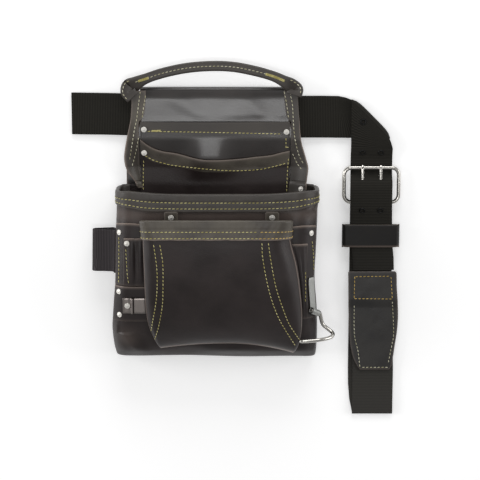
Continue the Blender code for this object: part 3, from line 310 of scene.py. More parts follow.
def plated(name, colour, rough, scratch, mark=6.0):
    """Plated steel: the plate's own colour, with its shine broken by fine handling marks."""
    material, tree, shader = new_material(name, {"Metallic": 1.0, "Base Color": linear(colour)})
    place = add(tree, "ShaderNodeTexCoord").outputs["Object"]
    marks = add(tree, "ShaderNodeTexNoise", {"Scale": 1 / (mark * MM), "Detail": 2.0}, {"Vector": place})
    shine = add(tree, "ShaderNodeMapRange", {3: rough, 4: rough + scratch}, {0: marks.outputs[0]})
    tree.links.new(shine.outputs[0], shader.inputs["Roughness"])
    return material


# Thread: most seams are pale yellow, the pale thread on the wings and the handle is painted sheen and the rubbed ones
# have gone orange.
yellow_thread = thread("yellow_thread", "#a0944a", "#cfc688")
pale_thread = thread("pale_thread", "#a39d78", "#dcd8c0")
orange_thread = thread("orange_thread", "#ab8b3a", "#d9b968")
# Plates: the buckle and the wire mirror the room sharply, the clip is darker and the rivets are
# frosted, the hammer plate is blue grey and dull, and the eyelets are black with a small glint.
nickel_plate = plated("nickel_plate", "#c6c3bd", 0.17, 0.05)
clip_plate = plated("clip_plate", "#8b8480", 0.26, 0.08)
rivet_plate = plated("rivet_plate", "#e6e3dd", 0.52, 0.1)
zinc_plate = plated("zinc_plate", "#a5a6a3", 0.38, 0.15)
black_plate = plated("black_plate", "#2b2b2b", 0.3, 0.2)
print("thread and metals made")

# %% [markdown]
# ## How a soft piece is made
# Leather and webbing start flat, so each piece starts as a flat grid from Blender's grid operator.
# A function says where every point of the grid lies, which keeps rows and columns even, and a
# Solidify modifier then gives the sheet its real thickness. A small bevel takes the hard corner off
# the cut edge, and an attribute marks a band along it where the dye has rubbed off.

# %% Sheets
LEATHER, BINDING, WEB, GAP = 2.2, 1.5, 2.3, 0.3
RUB_REACH = 1.6         # mm that a rubbed band reaches in from its edge
pieces = {}
piece_lifts = {}


def put(name, mesh, materials, stands_for=(), body="apron"):
    """Put a mesh in millimetres into the scene, riding on a body of the frame."""
    bmesh.ops.scale(mesh, verts=mesh.verts, vec=(MM, MM, MM))
    data = bpy.data.meshes.new(name)
    mesh.to_mesh(data)
    mesh.free()
    data.shade_smooth()
    for material in materials:
        data.materials.append(material)
    piece = bpy.data.objects.new(name, data)
    bpy.context.scene.collection.objects.link(piece)
    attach(piece, body)
    if stands_for:
        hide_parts(*stands_for)
    pieces[name] = piece
    return piece


def grid(across, down, place, web_at, rub=None):
    """A flat grid whose point of column i and row j goes to place(i, j). web_at(i, j) is its place
    on the UV map in millimetres, and rub(i, j) says how far its dye is rubbed."""
    mesh = bmesh.new()
    bmesh.ops.create_grid(mesh, x_segments=across, y_segments=down, size=0.5)
    edge = mesh.verts.layers.float.new("edge") if rub else None
    spots = {}
    for vert in mesh.verts:
        i, j = round((vert.co.x + 0.5) * across), round((0.5 - vert.co.y) * down)
        if rub:
            vert[edge] = rub(i, j)
        vert.co = place(i, j)
        spots[vert] = (i, j)
    uv = mesh.loops.layers.uv.new("web")
    for face in mesh.faces:
        for loop in face.loops:
            along, aside = web_at(*spots[loop.vert])
            loop[uv].uv = (along * MM, aside * MM)
    return mesh, spots


def thicken(piece, wall, offset, bevel=0.0, rim=1):
    """Give a sheet its wall and a rounded edge. rim is the place of the cut edge's material."""
    thick = piece.modifiers.new("Wall", "SOLIDIFY")
    thick.thickness = wall * MM
    thick.offset = offset
    thick.material_offset_rim = rim
    if bevel:
        soften = piece.modifiers.new("Rounded edge", "BEVEL")
        soften.width = bevel * MM
        soften.segments = 2
        soften.limit_method = "ANGLE"
        soften.angle_limit = math.radians(60)


def sheet(name, across, down, place, look, stands_for, wall=LEATHER, side=-1.0, size=(100.0, 100.0),
          worn=(1, 1, 1, 1), slot="leather", bevel=0.5, band=0, bound=None):
    """A leather or web sheet. worn says how far the dye is rubbed along its top, bottom, left and
    right edge. band rows at its top are bound in the leather given as bound."""
    def rub(i, j):
        near = (j / down * size[1], (1 - j / down) * size[1], i / across * size[0], (1 - i / across) * size[0])
        return max(w * math.exp(-(d / RUB_REACH) ** 2) for w, d in zip(worn, near))

    mesh, spots = grid(across, down, place, lambda i, j: (j / down * size[1], i / across * size[0]), rub)
    for face in mesh.faces:
        face.material_index = 2 * (max(spots[loop.vert][1] for loop in face.loops) <= band)
    rim = cut_edge if slot == "leather" and max(worn) > 0.5 else look
    looks = [look, rim] + ([bound, bound] if band else [])
    piece = put(name, mesh, looks, stands_for)
    piece_lifts[name] = wall * max(side, 0.0)
    thicken(piece, wall, side, bevel)
    print(name, (across + 1) * (down + 1), "points")
    return piece


# %% [markdown]
# ## The main pouch
# The pouch is one hide bent into a box: a flat front, two rounded corners and two side walls, sewn
# to the back by turned-in flanges. Its shape is a cross-section that changes down its length. The
# bottom closes like a bag, softer at the corners, and one corner has been pushed in.
# A cloth simulation could bend it, but couldn't be steered to the photograph's bends. A table of
# sections puts each of them where it is seen.

# %% Main pouch sizes
POUCH_MOUTH, POUCH_LENGTH, POUCH_HALF, POUCH_DEPTH = -86.0, 211.0, 124.0, 60.0
FLANGE = 32.0
LOW_ROUND, LEFT_ROUND, RIGHT_ROUND = 14.0, 20.0, 26.0
ROUND_ROOM = 0.48       # most of its height that a round may take
RIM_HEIGHT = 21.5
SAG, SAG_HALF, SAG_MIDDLE, SAG_CURVE, SAG_FADE = 4.8, 105.0, 3.0, 4.4, 70.0
END_DROP, END_DRAWN, END_FROM, END_OVER, END_FADE = 2.6, 0.32, 80.0, 38.0, 50.0
POUCH = [               # shares: down, depth, left, right, flange
    (0.000, 0.967, 0.960, 1.008, 1.00),
    (0.110, 0.967, 0.960, 1.008, 1.00),
    (0.240, 0.985, 0.968, 1.002, 1.00),
    (0.380, 1.000, 0.974, 0.992, 1.00),
    (0.520, 1.000, 0.980, 0.984, 1.00),
    (0.660, 0.975, 1.000, 1.000, 1.00),
    (0.800, 0.920, 1.016, 1.014, 1.00),
    (0.890, 0.850, 1.012, 1.014, 0.95),
    (0.945, 0.760, 1.006, 1.010, 0.80),
    (0.978, 0.640, 0.998, 1.006, 0.55),
    (1.000, 0.520, 0.992, 1.002, 0.35),
    (1.014, 0.330, 0.988, 0.998, 0.20),
    (1.021, 0.120, 0.984, 0.994, 0.12),
]
POUCH_FOOT = POUCH[-1][0]


class Section:
    """One cross-section of a pouch: its edges, floor, top and rounds, in millimetres."""

    def __init__(self, left, right, base, top, left_round, right_round, low_round, left_flange, right_flange):
        room = (top - base) * ROUND_ROOM
        self.left, self.right, self.base, self.top = left, right, base, top
        self.left_round = min(left_round, top - base - min(low_round, room))
        self.right_round = min(right_round, top - base - min(low_round, room))
        self.low_round = min(low_round, room)
        self.left_flange, self.right_flange = left_flange, right_flange

    def outline(self, steps):
        """Points and outward directions: flange, low round, wall, round, face, and back down."""
        flange, low, wall, corner, face = steps
        made = []

        def straight(start, end, normal, count):
            for share in spaced(0.0, 1.0, count)[:-1]:
                made.append((*(a + (b - a) * share for a, b in zip(start, end)), *normal))

        def turn(x, z, radius, start, count):
            for angle in spaced(math.radians(start), math.radians(start - 90), count)[:-1]:
                nx, nz = math.cos(angle), math.sin(angle)
                made.append((x + radius * nx, z + radius * nz, nx, nz))

        left, right, base, top = self.left, self.right, self.base, self.top
        r, rl, rr = self.low_round, self.left_round, self.right_round
        straight((left + self.left_flange, base), (left + r, base), (0, -1), flange)
        turn(left + r, base + r, r, 270, low)
        straight((left, base + r), (left, top - rl), (-1, 0), wall)
        turn(left + rl, top - rl, rl, 180, corner)
        straight((left + rl, top), (right - rr, top), (0, 1), face)
        turn(right - rr, top - rr, rr, 90, corner)
        straight((right, top - rr), (right, base + r), (1, 0), wall)
        turn(right - r, base + r, r, 0, low)
        straight((right - r, base), (right - self.right_flange, base), (0, -1), flange)
        made.append((right - self.right_flange, base, 0, -1))
        return made


def pouch_section(y):
    depth, left, right, flange = read(POUCH, (POUCH_MOUTH - y) / POUCH_LENGTH)
    base = LEATHER + GAP
    top = depth * POUCH_DEPTH
    room = (top - base) * ROUND_ROOM
    return Section(-left * POUCH_HALF, right * POUCH_HALF, base, top, min(LEFT_ROUND, room),
                   min(RIGHT_ROUND, room), min(LOW_ROUND, room), flange * FLANGE, flange * FLANGE)


def mouth_sag(x, down):
    """How far the mouth hangs lower. Its ends are drawn together, so the binding is narrower there."""
    aside = abs(x - SAG_MIDDLE)
    middle = SAG * max(1.0 - (aside / SAG_HALF) ** SAG_CURVE, 0.0) * max(1.0 - max(down, 0.0) / SAG_FADE, 0.0) ** 1.5
    drawn = END_DROP - END_DRAWN * min(max(down, 0.0), RIM_HEIGHT)
    return middle + clamp((aside - END_FROM) / END_OVER) ** 2 * drawn * clamp(1.0 - (down - RIM_HEIGHT) / END_FADE)


print("main pouch is", round(pouch_section(-150).top), "mm deep at its middle")

# %% Main pouch
STEPS = (8, 8, 10, 14, 80)      # points of a flange, low round, wall, upper round and face
POUCH_ROWS = 130
OFF_FLOOR = LEATHER + 6.0       # what lies lower is flange, and stays flat
FOOT_TILT, FOOT_WAVE, WAVE_LENGTH = 1.2, 0.7, 21.0
ROW_EASE, ROWS_AT_FOOT = 0.9, 0.35      # rows lie closer at the foot, where the hide bends most
HIDE_RIPPLE = (34.0, 0.5)
HIDE_CREASES = [        # start, end, width, height
    ((106.0, -118.0), (124.0, -106.0), 4.5, 1.6), ((104.0, -124.0), (122.0, -114.0), 4.0, -1.5),
    ((-116.0, -250.0), (-94.0, -288.0), 6.0, 2.2), ((-104.0, -246.0), (-80.0, -286.0), 7.0, -1.8),
]
HIDE_BUMPS = [          # centre, size, height
    ((-112.0, -262.0), (16.0, 20.0), 1.6), ((30.0, -284.0), (26.0, 6.0), 1.5),
    ((-35.0, -287.0), (30.0, 5.0), -1.2), ((104.0, -286.0), (12.0, 10.0), 1.2),
]
HELD_TOP, HELD_FOOT, HELD_IN, HELD = -113.0, -262.0, 8.0, 0.25


def pouch_fold(x, y, part):
    """How far the hide stands off the plain form, outwards. The front pouch holds it nearly flat."""
    off = ripple(x, y, *HIDE_RIPPLE)
    off += sum(crease_at(x, y, *crease) for crease in HIDE_CREASES)
    off += sum(bump_at(x, y, *bump) for bump in HIDE_BUMPS)
    held = HELD_FOOT <= y <= HELD_TOP and part.left + HELD_IN <= x <= part.right - HELD_IN
    return off * (HELD if held else 1.0)


pouch_rows = []
for v in spaced(0.0, 1.0, POUCH_ROWS):
    down = (math.sin(v * math.pi / 2) ** ROW_EASE * ROWS_AT_FOOT + v * (1 - ROWS_AT_FOOT)) * POUCH_FOOT
    y = POUCH_MOUTH - down * POUCH_LENGTH
    part = pouch_section(y)
    row = []
    for x, z, nx, nz in part.outline(STEPS):
        off = pouch_fold(x, y, part) if z > OFF_FLOOR else 0.0
        drop = mouth_sag(x, POUCH_MOUTH - y) if z > OFF_FLOOR else 0.0
        drop += v ** 8 * (FOOT_TILT * x / POUCH_HALF + FOOT_WAVE * math.sin(x / WAVE_LENGTH))
        row.append(Vector((x + nx * off, y - drop, z + nz * off)))
    pouch_rows.append(row)
sheet("main_pouch_leather", len(pouch_rows[0]) - 1, POUCH_ROWS, lambda i, j: pouch_rows[j][i], waxed_leather,
      ["main_pouch"], size=(430.0, POUCH_LENGTH), worn=(0, 0.2, 0, 0), bevel=0)

# %% Painted light on the hide
# Painted light: the strip of hide between the two mouths is painted paler where the bindings shade it, and the lower
# left corner gets a painted soft highlight.
PAINTED_LIGHT_SPOTS = [((0.0, -114.0), (400.0, 9.0), 0.24), ((-106.0, -268.0), (13.0, 12.0), 0.2)]
hide = pieces["main_pouch_leather"].data
for vert, share in zip(hide.vertices, hide.attributes["edge"].data):
    painted_light = [bump_at(vert.co.x / MM, vert.co.y / MM, *rub) for rub in PAINTED_LIGHT_SPOTS]
    share.value = max(share.value, *painted_light)
# The places counted here are painted light.
print("rubbed places:", len(PAINTED_LIGHT_SPOTS))

# %% [markdown]
# ## The front pouch
# A second, smaller pouch lies on the first. Its front is flat and widens downwards, its sides are
# gussets sewn on with two rows of stitches, and its lower edge is a bare cut edge that arches up in
# the middle. A step of half the hide shows where the front laps over each gusset.
# It could be bent out of a box, but it needs the main pouch's soft rounds, so it reads a table of
# its own through the same section.

# %% Front pouch sizes
FRONT_MOUTH, FRONT_LENGTH, FRONT_HALF, FRONT_DEPTH = -115.0, 160.0, 100.0, 40.0
FRONT_LOW_ROUND = 10.0
TAB_WIDTH, TAB_LEFT, TAB_RIGHT = 16.6, -52.5, 69.0
FRONT = [               # shares: down, depth, left, right, left round, right round, sag
    (0.000, 1.000, 0.872, 0.918, 0.20, 0.34, 0.000),
    (0.060, 1.000, 0.864, 0.914, 0.25, 0.46, 0.000),
    (0.140, 1.000, 0.855, 0.912, 0.34, 0.62, 0.000),
    (0.320, 0.960, 0.850, 0.980, 0.36, 0.64, 0.004),
    (0.500, 0.880, 0.842, 1.030, 0.34, 0.58, 0.010),
    (0.680, 0.720, 0.832, 1.056, 0.30, 0.46, 0.020),
    (0.820, 0.540, 0.800, 1.056, 0.24, 0.34, 0.034),
    (0.920, 0.360, 0.745, 1.032, 0.16, 0.22, 0.046),
    (0.975, 0.220, 0.700, 0.995, 0.09, 0.12, 0.054),
    (1.000, 0.085, 0.670, 0.960, 0.03, 0.04, 0.058),
]
LEFT_SAG, RIGHT_SAG = 0.65, 1.3
GUSSET_LEAN, LEAN_FADE = 0.18, 60.0


def front_section(share):
    depth, left, right, left_round, right_round, sag = read(FRONT, share)
    base = pouch_section(FRONT_MOUTH - share * FRONT_LENGTH).top + GAP
    height = depth * FRONT_DEPTH
    low = min(FRONT_LOW_ROUND, height * ROUND_ROOM)
    left, right = -left * FRONT_HALF, right * FRONT_HALF
    flange = min(depth * 1.2, 1.0)
    return Section(left, right, base, base + height, left_round * FRONT_DEPTH, right_round * FRONT_DEPTH, low,
                   flange * (TAB_LEFT - TAB_WIDTH / 2 - GAP - left),
                   flange * (right - TAB_RIGHT - TAB_WIDTH / 2 - GAP)), sag


def mouth_lean(under, down):
    """The gussets' mouths slant back, more so the further they are under the front."""
    return GUSSET_LEAN * under * clamp(1.0 - down / LEAN_FADE)


print("front pouch is", round(front_section(0.5)[0].top - front_section(0.5)[0].base), "mm deep at its middle")

# %% Front pouch
FRONT_STEPS = (6, 8, 8, 14, 74)
FRONT_ROWS = 110
FRONT_RIPPLE = (42.0, 0.7)
FRONT_DENT = ((10.0, -190.0), (70.0, 40.0), -1.2)
SEAM_IN, SEAM_FROM, SEAM_RUBBED = 3, 8, 0.8
front_rows = []
for share in spaced(0.0, 1.0, FRONT_ROWS):
    part, sag = front_section(share)
    middle, half = (part.left + part.right) / 2, (part.right - part.left) / 2
    row = []
    for x, z, nx, nz in part.outline(FRONT_STEPS):
        aside = (x - middle) / half
        y = FRONT_MOUTH - share * FRONT_LENGTH
        y -= sag * FRONT_LENGTH * aside ** 2 * (LEFT_SAG if aside < 0 else RIGHT_SAG)
        y -= mouth_lean(part.top - z, share * FRONT_LENGTH)
        off = ripple(x, y, *FRONT_RIPPLE) * min(share * 5, 1.0) if nz > -0.5 else 0.0
        off += bump_at(x, y, *FRONT_DENT) * max(nz, 0.0)
        row.append(Vector((x + nx * off, y, z + nz * off)))
    front_rows.append(row)
front_columns = len(front_rows[0]) - 1
front_piece = sheet("front_pouch_leather", front_columns, FRONT_ROWS, lambda i, j: front_rows[j][i], waxed_leather,
                    ["front_pouch"], size=(330.0, FRONT_LENGTH), worn=(0, 1, 0, 0), bevel=0)
first_seam = sum(FRONT_STEPS[:3]) + SEAM_IN
rubbed_columns = (first_seam, front_columns - first_seam)
worn_band = front_piece.data.attributes["edge"].data
for index in range(len(front_piece.data.vertices)):
    column, row = index % (front_columns + 1), FRONT_ROWS - index // (front_columns + 1)
    if column in rubbed_columns and row > SEAM_FROM:
        worn_band[index].value = SEAM_RUBBED

# %% [markdown]
# ## The bound mouths
# Each mouth is bound by a strip of thinner leather folded over it, which hangs further down outside
# than inside. It could be a bent copy of the pouch's edge, but a strip laid along the mouth keeps its
# own width, so the grid runs along the mouth one way and over the fold the other way.

# %% Bindings
RIM_INSIDE = 12.0
RIM_ROWS = (6, 10, 14)          # rows inside, over the fold and outside
RIM_SECTIONS = 16
RIM_PUCKER, SLACK_PUCKER = 0.25, 0.4    # mm of waviness, and the share of it on the outside
FOLD_HIGH = 0.75                        # the fold's height as a share of its half width
DENT_AT, DENT_WIDE, DENT = 0.42, 0.06, 0.35     # the groove that the upper seam pulls in


def no_shift(place, down):
    return 0.0


# A mouth: its section at a distance down, its place, steps, how far it sags and how it leans.
MAIN_EDGE = (lambda d: pouch_section(POUCH_MOUTH - d), POUCH_MOUTH, STEPS, mouth_sag, no_shift)
FRONT_EDGE = (lambda d: front_section(d / FRONT_LENGTH)[0], FRONT_MOUTH, FRONT_STEPS, no_shift, mouth_lean)


def binding(name, node, look, edge, trim):
    """A strip folded over a mouth, trim points short of the mouth's outline at both ends."""
    section_at, mouth, steps, sag, lean = edge
    outer = GAP + BINDING
    inner = LEATHER + GAP + BINDING
    fold = (outer + inner) / 2
    sections = [section_at(d).outline(steps)[trim:-trim] for d in spaced(0.0, RIM_HEIGHT, RIM_SECTIONS)]
    top = section_at(0.0).top

    def wall(i, down, out):
        step = min(max(down, 0.0) / RIM_HEIGHT * RIM_SECTIONS, RIM_SECTIONS - 0.001)
        low, mix = int(step), step % 1
        (ax, az, nx, nz), (bx, bz, _, _) = sections[low][i], sections[low + 1][i]
        wave = RIM_PUCKER * math.sin(i * 1.7) + ripple(i * 3.0, down, 9.0, 0.5)
        out += wave * (SLACK_PUCKER if out > 0 else 0.0)
        y = mouth - down - sag(ax, down) - lean(top - az, down)
        return Vector((ax + (bx - ax) * mix + nx * out, y, az + (bz - az) * mix + nz * out))

    inside_rows, fold_rows, outside_rows = RIM_ROWS

    def place(i, j):
        if j <= inside_rows:
            return wall(i, RIM_INSIDE * (1 - j / inside_rows), -inner)
        if j <= inside_rows + fold_rows:
            angle = math.pi * (j - inside_rows) / fold_rows
            return wall(i, -fold * FOLD_HIGH * math.sin(angle), (outer - inner) / 2 - fold * math.cos(angle))
        down = (j - inside_rows - fold_rows) / outside_rows
        wavy = 1.0 + 0.01 * math.sin(i * 0.35) + 0.005 * math.sin(i * 0.9)
        return wall(i, RIM_HEIGHT * down * wavy, outer - DENT * math.exp(-((down - DENT_AT) / DENT_WIDE) ** 2))

    columns = len(sections[0]) - 1
    return sheet(name, columns, sum(RIM_ROWS), place, look, [node], wall=BINDING, size=(columns * 1.8, 46.0),
                 worn=(0.4, 0.8, 0, 0), slot="binding", bevel=0.3)


binding("main_mouth_binding", "main_rim", binding_leather, MAIN_EDGE, 8)
binding("front_mouth_binding", "front_rim", soft_leather, FRONT_EDGE, 14)

# %% [markdown]
# ## The back panel and the upper pockets
# The back panel wraps the belt: it comes up behind it, folds over its top edge and comes down in
# front, where two flat pockets lie on it. Stacked leathers never lie dead flat, so the pockets'
# mouths stand off a little in the middle.
# They could be plain planes, but then nothing would show where the panel slopes down off the belt.
# So each pocket lies on the panel's own height, with a little slack on top.

# %% Back panel
PANEL_HALF, PANEL_TOP, PANEL_BOTTOM, TUNNEL_END = 91.0, 34.0, -293.0, -50.0
OVER_BELT = LEATHER + GAP + 2 * (WEB + GAP) + LEATHER / 2
ROLL, ROLL_WIDTH = 1.3, 4.5
SLOPE = [(29.0, 1.0), (50.0, 0.36), (64.0, 0.0)]
BACK_ROWS, FOLD_ROWS, FRONT_PANEL_ROWS, LOW_ROWS = 10, 14, 60, 12
PANEL_COLUMNS = 90
BESIDE_POCKETS, LEFT_OF_MOUTH, RIGHT_OF_MOUTH = 4.0, 14.0, 12.0    # mm that the panel is wider there
POCKETS_FROM, POCKETS_OVER = -8.0, 10.0         # where it gets wider, and over how many mm
MOUTH_FROM, MOUTH_OVER = -52.0, 14.0
PANEL_RIPPLE = (60.0, 0.4)
PANEL_CREASES = [((-60.0, 26.0), (-10.0, -4.0), 9.0, 0.25), ((30.0, 28.0), (62.0, -6.0), 9.0, 0.25)]


def panel_height(y):
    low = LEATHER / 2
    share = 1.0 if -y <= SLOPE[0][0] else 0.0 if -y >= SLOPE[-1][0] else read(SLOPE, -y)[0]
    return low + (OVER_BELT - low) * share


def on_panel(y, layer):
    return panel_height(y) + LEATHER / 2 + GAP + layer * (LEATHER + GAP)


fold = (OVER_BELT - LEATHER / 2) / 2
fold_y = PANEL_TOP - fold - LEATHER / 2
panel_line = [(y, LEATHER / 2) for y in spaced(TUNNEL_END, 0.0, BACK_ROWS)]
for angle in spaced(-math.pi / 2, math.pi / 2, FOLD_ROWS):
    panel_line.append((fold_y + fold * math.cos(angle), LEATHER / 2 + fold + fold * math.sin(angle)))
panel_line += [(y, panel_height(y)) for y in spaced(fold_y - 2.0, POUCH_MOUTH, FRONT_PANEL_ROWS)]
panel_line += [(y, LEATHER / 2) for y in spaced(POUCH_MOUTH - 8.0, PANEL_BOTTOM, LOW_ROWS)]


def panel_place(i, j):
    y, z = panel_line[j]
    in_front = j > BACK_ROWS + FOLD_ROWS + 1
    widen = eased((MOUTH_FROM - y) / MOUTH_OVER) * in_front
    half = PANEL_HALF + BESIDE_POCKETS * clamp((POCKETS_FROM - y) / POCKETS_OVER) * in_front
    left, right = half + LEFT_OF_MOUTH * widen, half + RIGHT_OF_MOUTH * widen
    x = -left + (left + right) * i / PANEL_COLUMNS
    if j <= BACK_ROWS:
        return Vector((x, y, z))
    if not in_front:
        return Vector((x, y, z - ROLL * (z - LEATHER / 2) / (OVER_BELT - LEATHER / 2)))
    roll = ROLL * math.exp(-((fold_y - y) / ROLL_WIDTH) ** 2)
    off = ripple(x, y, *PANEL_RIPPLE) + sum(crease_at(x, y, *crease) for crease in PANEL_CREASES)
    return Vector((x, y, z + off * clamp((y + 6.0) / 6.0) * clamp((fold_y - y) / 8.0) - roll))


sheet("back_panel_leather", PANEL_COLUMNS, len(panel_line) - 1, panel_place, polished_leather, ["back_panel"],
      side=0.0, size=(2 * PANEL_HALF, 400.0), worn=(0, 0, 0.5, 0.5))

# %% Upper pockets
POCKET_HALF, POCKET_BOTTOM = 91.0, -170.0
REAR_MOUTH, FRONT_POCKET_MOUTH, MOUTH_RISE = -8.0, -54.0, 25.0
REAR_ROWS, FRONT_POCKET_ROWS, POCKET_COLUMNS = 90, 70, 100
SLACK, SLACK_FADE = 3.0, 60.0
BULGE_TOP, BULGE_LEVEL, BULGE_END = -26.0, -50.0, -84.0
BULGE_X, BULGE_HALF = -7.0, 25.0
MOUTH_LINE = [          # shares: across, rise
    (-1.00, 1.00), (-0.92, 0.76), (-0.83, 0.56), (-0.70, 0.40), (-0.52, 0.30), (-0.30, 0.10),
    (-0.12, 0.00), (0.30, 0.02), (0.55, 0.12), (0.75, 0.20), (0.90, 0.34), (1.00, 0.42),
]


def slack(x, y, mouth):
    return SLACK * max(1.0 - (mouth - y) / SLACK_FADE, 0.0) * max(1.0 - (x / POCKET_HALF) ** 2, 0.0)


def bulge(x, y):
    """Left of the middle the pockets bulge out level where the panel slopes off the belt."""
    if y > BULGE_TOP:
        return 0.0
    level = on_panel(BULGE_TOP, 0) + slack(x, BULGE_TOP, REAR_MOUTH) - on_panel(y, 0) - slack(x, y, REAR_MOUTH)
    share = eased((y - BULGE_END) / (BULGE_LEVEL - BULGE_END))
    return max(level, 0.0) * share / (1.0 + ((x - BULGE_X) / BULGE_HALF) ** 4)


def rear_place(i, j):
    x = POCKET_HALF * (2 * i / POCKET_COLUMNS - 1)
    y = REAR_MOUTH + (POCKET_BOTTOM - REAR_MOUTH) * j / REAR_ROWS
    return Vector((x, y, on_panel(y, 0) + slack(x, y, REAR_MOUTH) + bulge(x, y)))


def front_place(i, j):
    x = POCKET_HALF * (2 * i / POCKET_COLUMNS - 1)
    mouth = FRONT_POCKET_MOUTH + MOUTH_RISE * read(MOUTH_LINE, x / POCKET_HALF)[0]
    y = mouth + (POCKET_BOTTOM - mouth) * j / FRONT_POCKET_ROWS
    return Vector((x, y, on_panel(y, 1) + slack(x, y, REAR_MOUTH) + 0.5 * slack(x, y, mouth) + bulge(x, y)))


sheet("rear_pocket_leather", POCKET_COLUMNS, REAR_ROWS, rear_place, polished_leather, ["upper_pocket_rear"], side=1.0,
      size=(182.0, 162.0), worn=(0.1, 0, 0, 0), band=7, bound=binding_leather)
# The front pocket's band is bound in the lighter soft leather: painted light on a band that lies in shade.
sheet("front_pocket_leather", POCKET_COLUMNS, FRONT_POCKET_ROWS, front_place, waxed_leather,
      ["upper_pocket_front"], side=1.0, size=(182.0, 120.0), worn=(0.4, 0, 0, 0), band=9, bound=soft_leather)

# %% [markdown]
# ## The side wings and the handle
# Strips of softer leather run down both sides from the handle, and curl where they cross the belt.
# The handle is a doubled strap, and its ends loop outwards and back under the wings.
# It could be a curve with a bevel, which keeps one section all along. A ring of points at each
# step lets the strap lean and open where it folds back.

# %% Side wings
WING_TOP, WING_LENGTH, WING_WIDTH, WING_LIFT = 30.0, 120.0, 20.0, 12.0
WING_COLUMNS, WING_ROWS = 16, 90
LEFT_WING = [           # shares: down, inner edge, outer edge, lift
    (0.00, 0.920, 0.60, 0.00), (0.12, 0.930, 0.52, 0.03), (0.24, 0.950, 0.56, 0.06), (0.28, 0.975, 0.58, 0.08),
    (0.32, 1.020, 0.62, 0.12), (0.50, 1.020, 0.85, 0.35), (0.66, 1.020, 1.00, 0.80), (0.76, 1.020, 0.95, 0.90),
    (0.84, 1.010, 0.78, 0.70), (0.92, 0.985, 0.45, 0.40), (1.00, 0.967, 0.20, 0.10),
]
RIGHT_WING = [
    (0.00, 0.915, 0.45, 0.00), (0.12, 0.930, 0.50, 0.03), (0.24, 0.950, 0.55, 0.06), (0.28, 0.975, 0.58, 0.08),
    (0.32, 1.020, 0.60, 0.12), (0.50, 1.020, 0.70, 0.30), (0.68, 1.020, 1.00, 0.70), (0.78, 1.017, 1.15, 0.95),
    (0.88, 1.011, 1.10, 0.95), (0.95, 1.000, 1.05, 0.90), (1.00, 0.989, 1.05, 0.80),
    (1.05, 0.984, 1.00, 0.78),
]


def wing(name, node, look, rows, side):
    last = rows[-1][0]

    def place(i, j):
        down = last * j / WING_ROWS
        inner, outer, lift = read(rows, down)
        y = WING_TOP - down * WING_LENGTH
        share = i / WING_COLUMNS if side > 0 else 1 - i / WING_COLUMNS
        x = side * (inner * PANEL_HALF + (PANEL_HALF + outer * WING_WIDTH - inner * PANEL_HALF) * share)
        low = on_panel(y, 1 if y < POUCH_MOUTH + 2.0 else 0)
        return Vector((x, y, low + WING_LIFT * lift * share ** 2))

    sheet(name, WING_COLUMNS, WING_ROWS, place, look, [node], side=1.0, size=(18.0, WING_LENGTH * last),
          worn=(0.3, 0.6, 0.3, 0.3))


wing("left_wing_leather", "side_wing_left", soft_leather, LEFT_WING, -1)
wing("right_wing_leather", "side_wing_right", binding_leather, RIGHT_WING, 1)

# %% Handle
HANDLE_WIDTH, HANDLE_THICK, HANDLE_HALF, HANDLE_Z = 12.5, 4.6, 100.0, 15.2
HANDLE_BASE, HANDLE_RISE = 41.0, 19.5
HANDLE_RINGS, HANDLE_SIDES = 110, 20
GROOVE, GROOVE_HALF = 0.55, 0.16        # depth in mm, and half width as a share of the strap's
STRAP_SQUARE, STRAP_FLAT = 0.6, 0.75    # powers that square the strap's section off, 1 being round
HANDLE_LINE = [         # shares: place, along, rise, lean of the strap, how far it opens inwards
    (0.00, -1.01, -1.05, 0.0, 0.6), (0.07, -1.08, -0.62, 0.3, 1.4), (0.14, -1.06, -0.12, 0.5, 2.0),
    (0.21, -0.97, 0.04, 0.4, 1.2), (0.28, -0.84, 0.22, 0.1, 0.1), (0.36, -0.62, 0.58, 0.0, 0.0),
    (0.43, -0.34, 0.88, 0.0, 0.0), (0.50, -0.05, 1.00, 0.0, 0.0), (0.57, 0.22, 0.95, 0.0, 0.0),
    (0.64, 0.48, 0.70, 0.0, 0.0), (0.71, 0.70, 0.38, 0.0, 0.0), (0.78, 0.84, 0.10, 0.1, 0.4),
    (0.86, 0.94, -0.08, 0.4, 1.6), (0.93, 1.01, -0.40, 0.5, 2.2), (1.00, 0.99, -0.86, 0.2, 1.0),
]


def handle_point(share):
    along, rise, lean, _ = read(HANDLE_LINE, share)
    return Vector((along * HANDLE_HALF, HANDLE_BASE + rise * HANDLE_RISE, HANDLE_Z)), lean


def handle_frame(share):
    """Middle, width direction towards the outside of the curve, and the direction up from it."""
    point, lean = handle_point(share)
    ahead = (handle_point(min(share + 0.01, 1.0))[0] - handle_point(max(share - 0.01, 0.0))[0]).normalized()
    flat = Vector((-ahead.y, ahead.x, 0.0))
    up = Vector((0.0, 0.0, 1.0))
    return point, flat * math.cos(lean) + up * math.sin(lean), up * math.cos(lean) - flat * math.sin(lean)


def skin(mesh, rings, closed=False):
    """Walls between neighbouring rings of points, and caps on open ends."""
    for pair in list(zip(rings, rings[1:])) + ([(rings[-1], rings[0])] if closed else []):
        edges = [e for ring in pair for v in ring for e in v.link_edges if e.other_vert(v) in ring]
        bmesh.ops.bridge_loops(mesh, edges=list(dict.fromkeys(edges)))
    bmesh.ops.holes_fill(mesh, edges=[e for e in mesh.edges if e.is_boundary])
    bmesh.ops.recalc_face_normals(mesh, faces=mesh.faces)


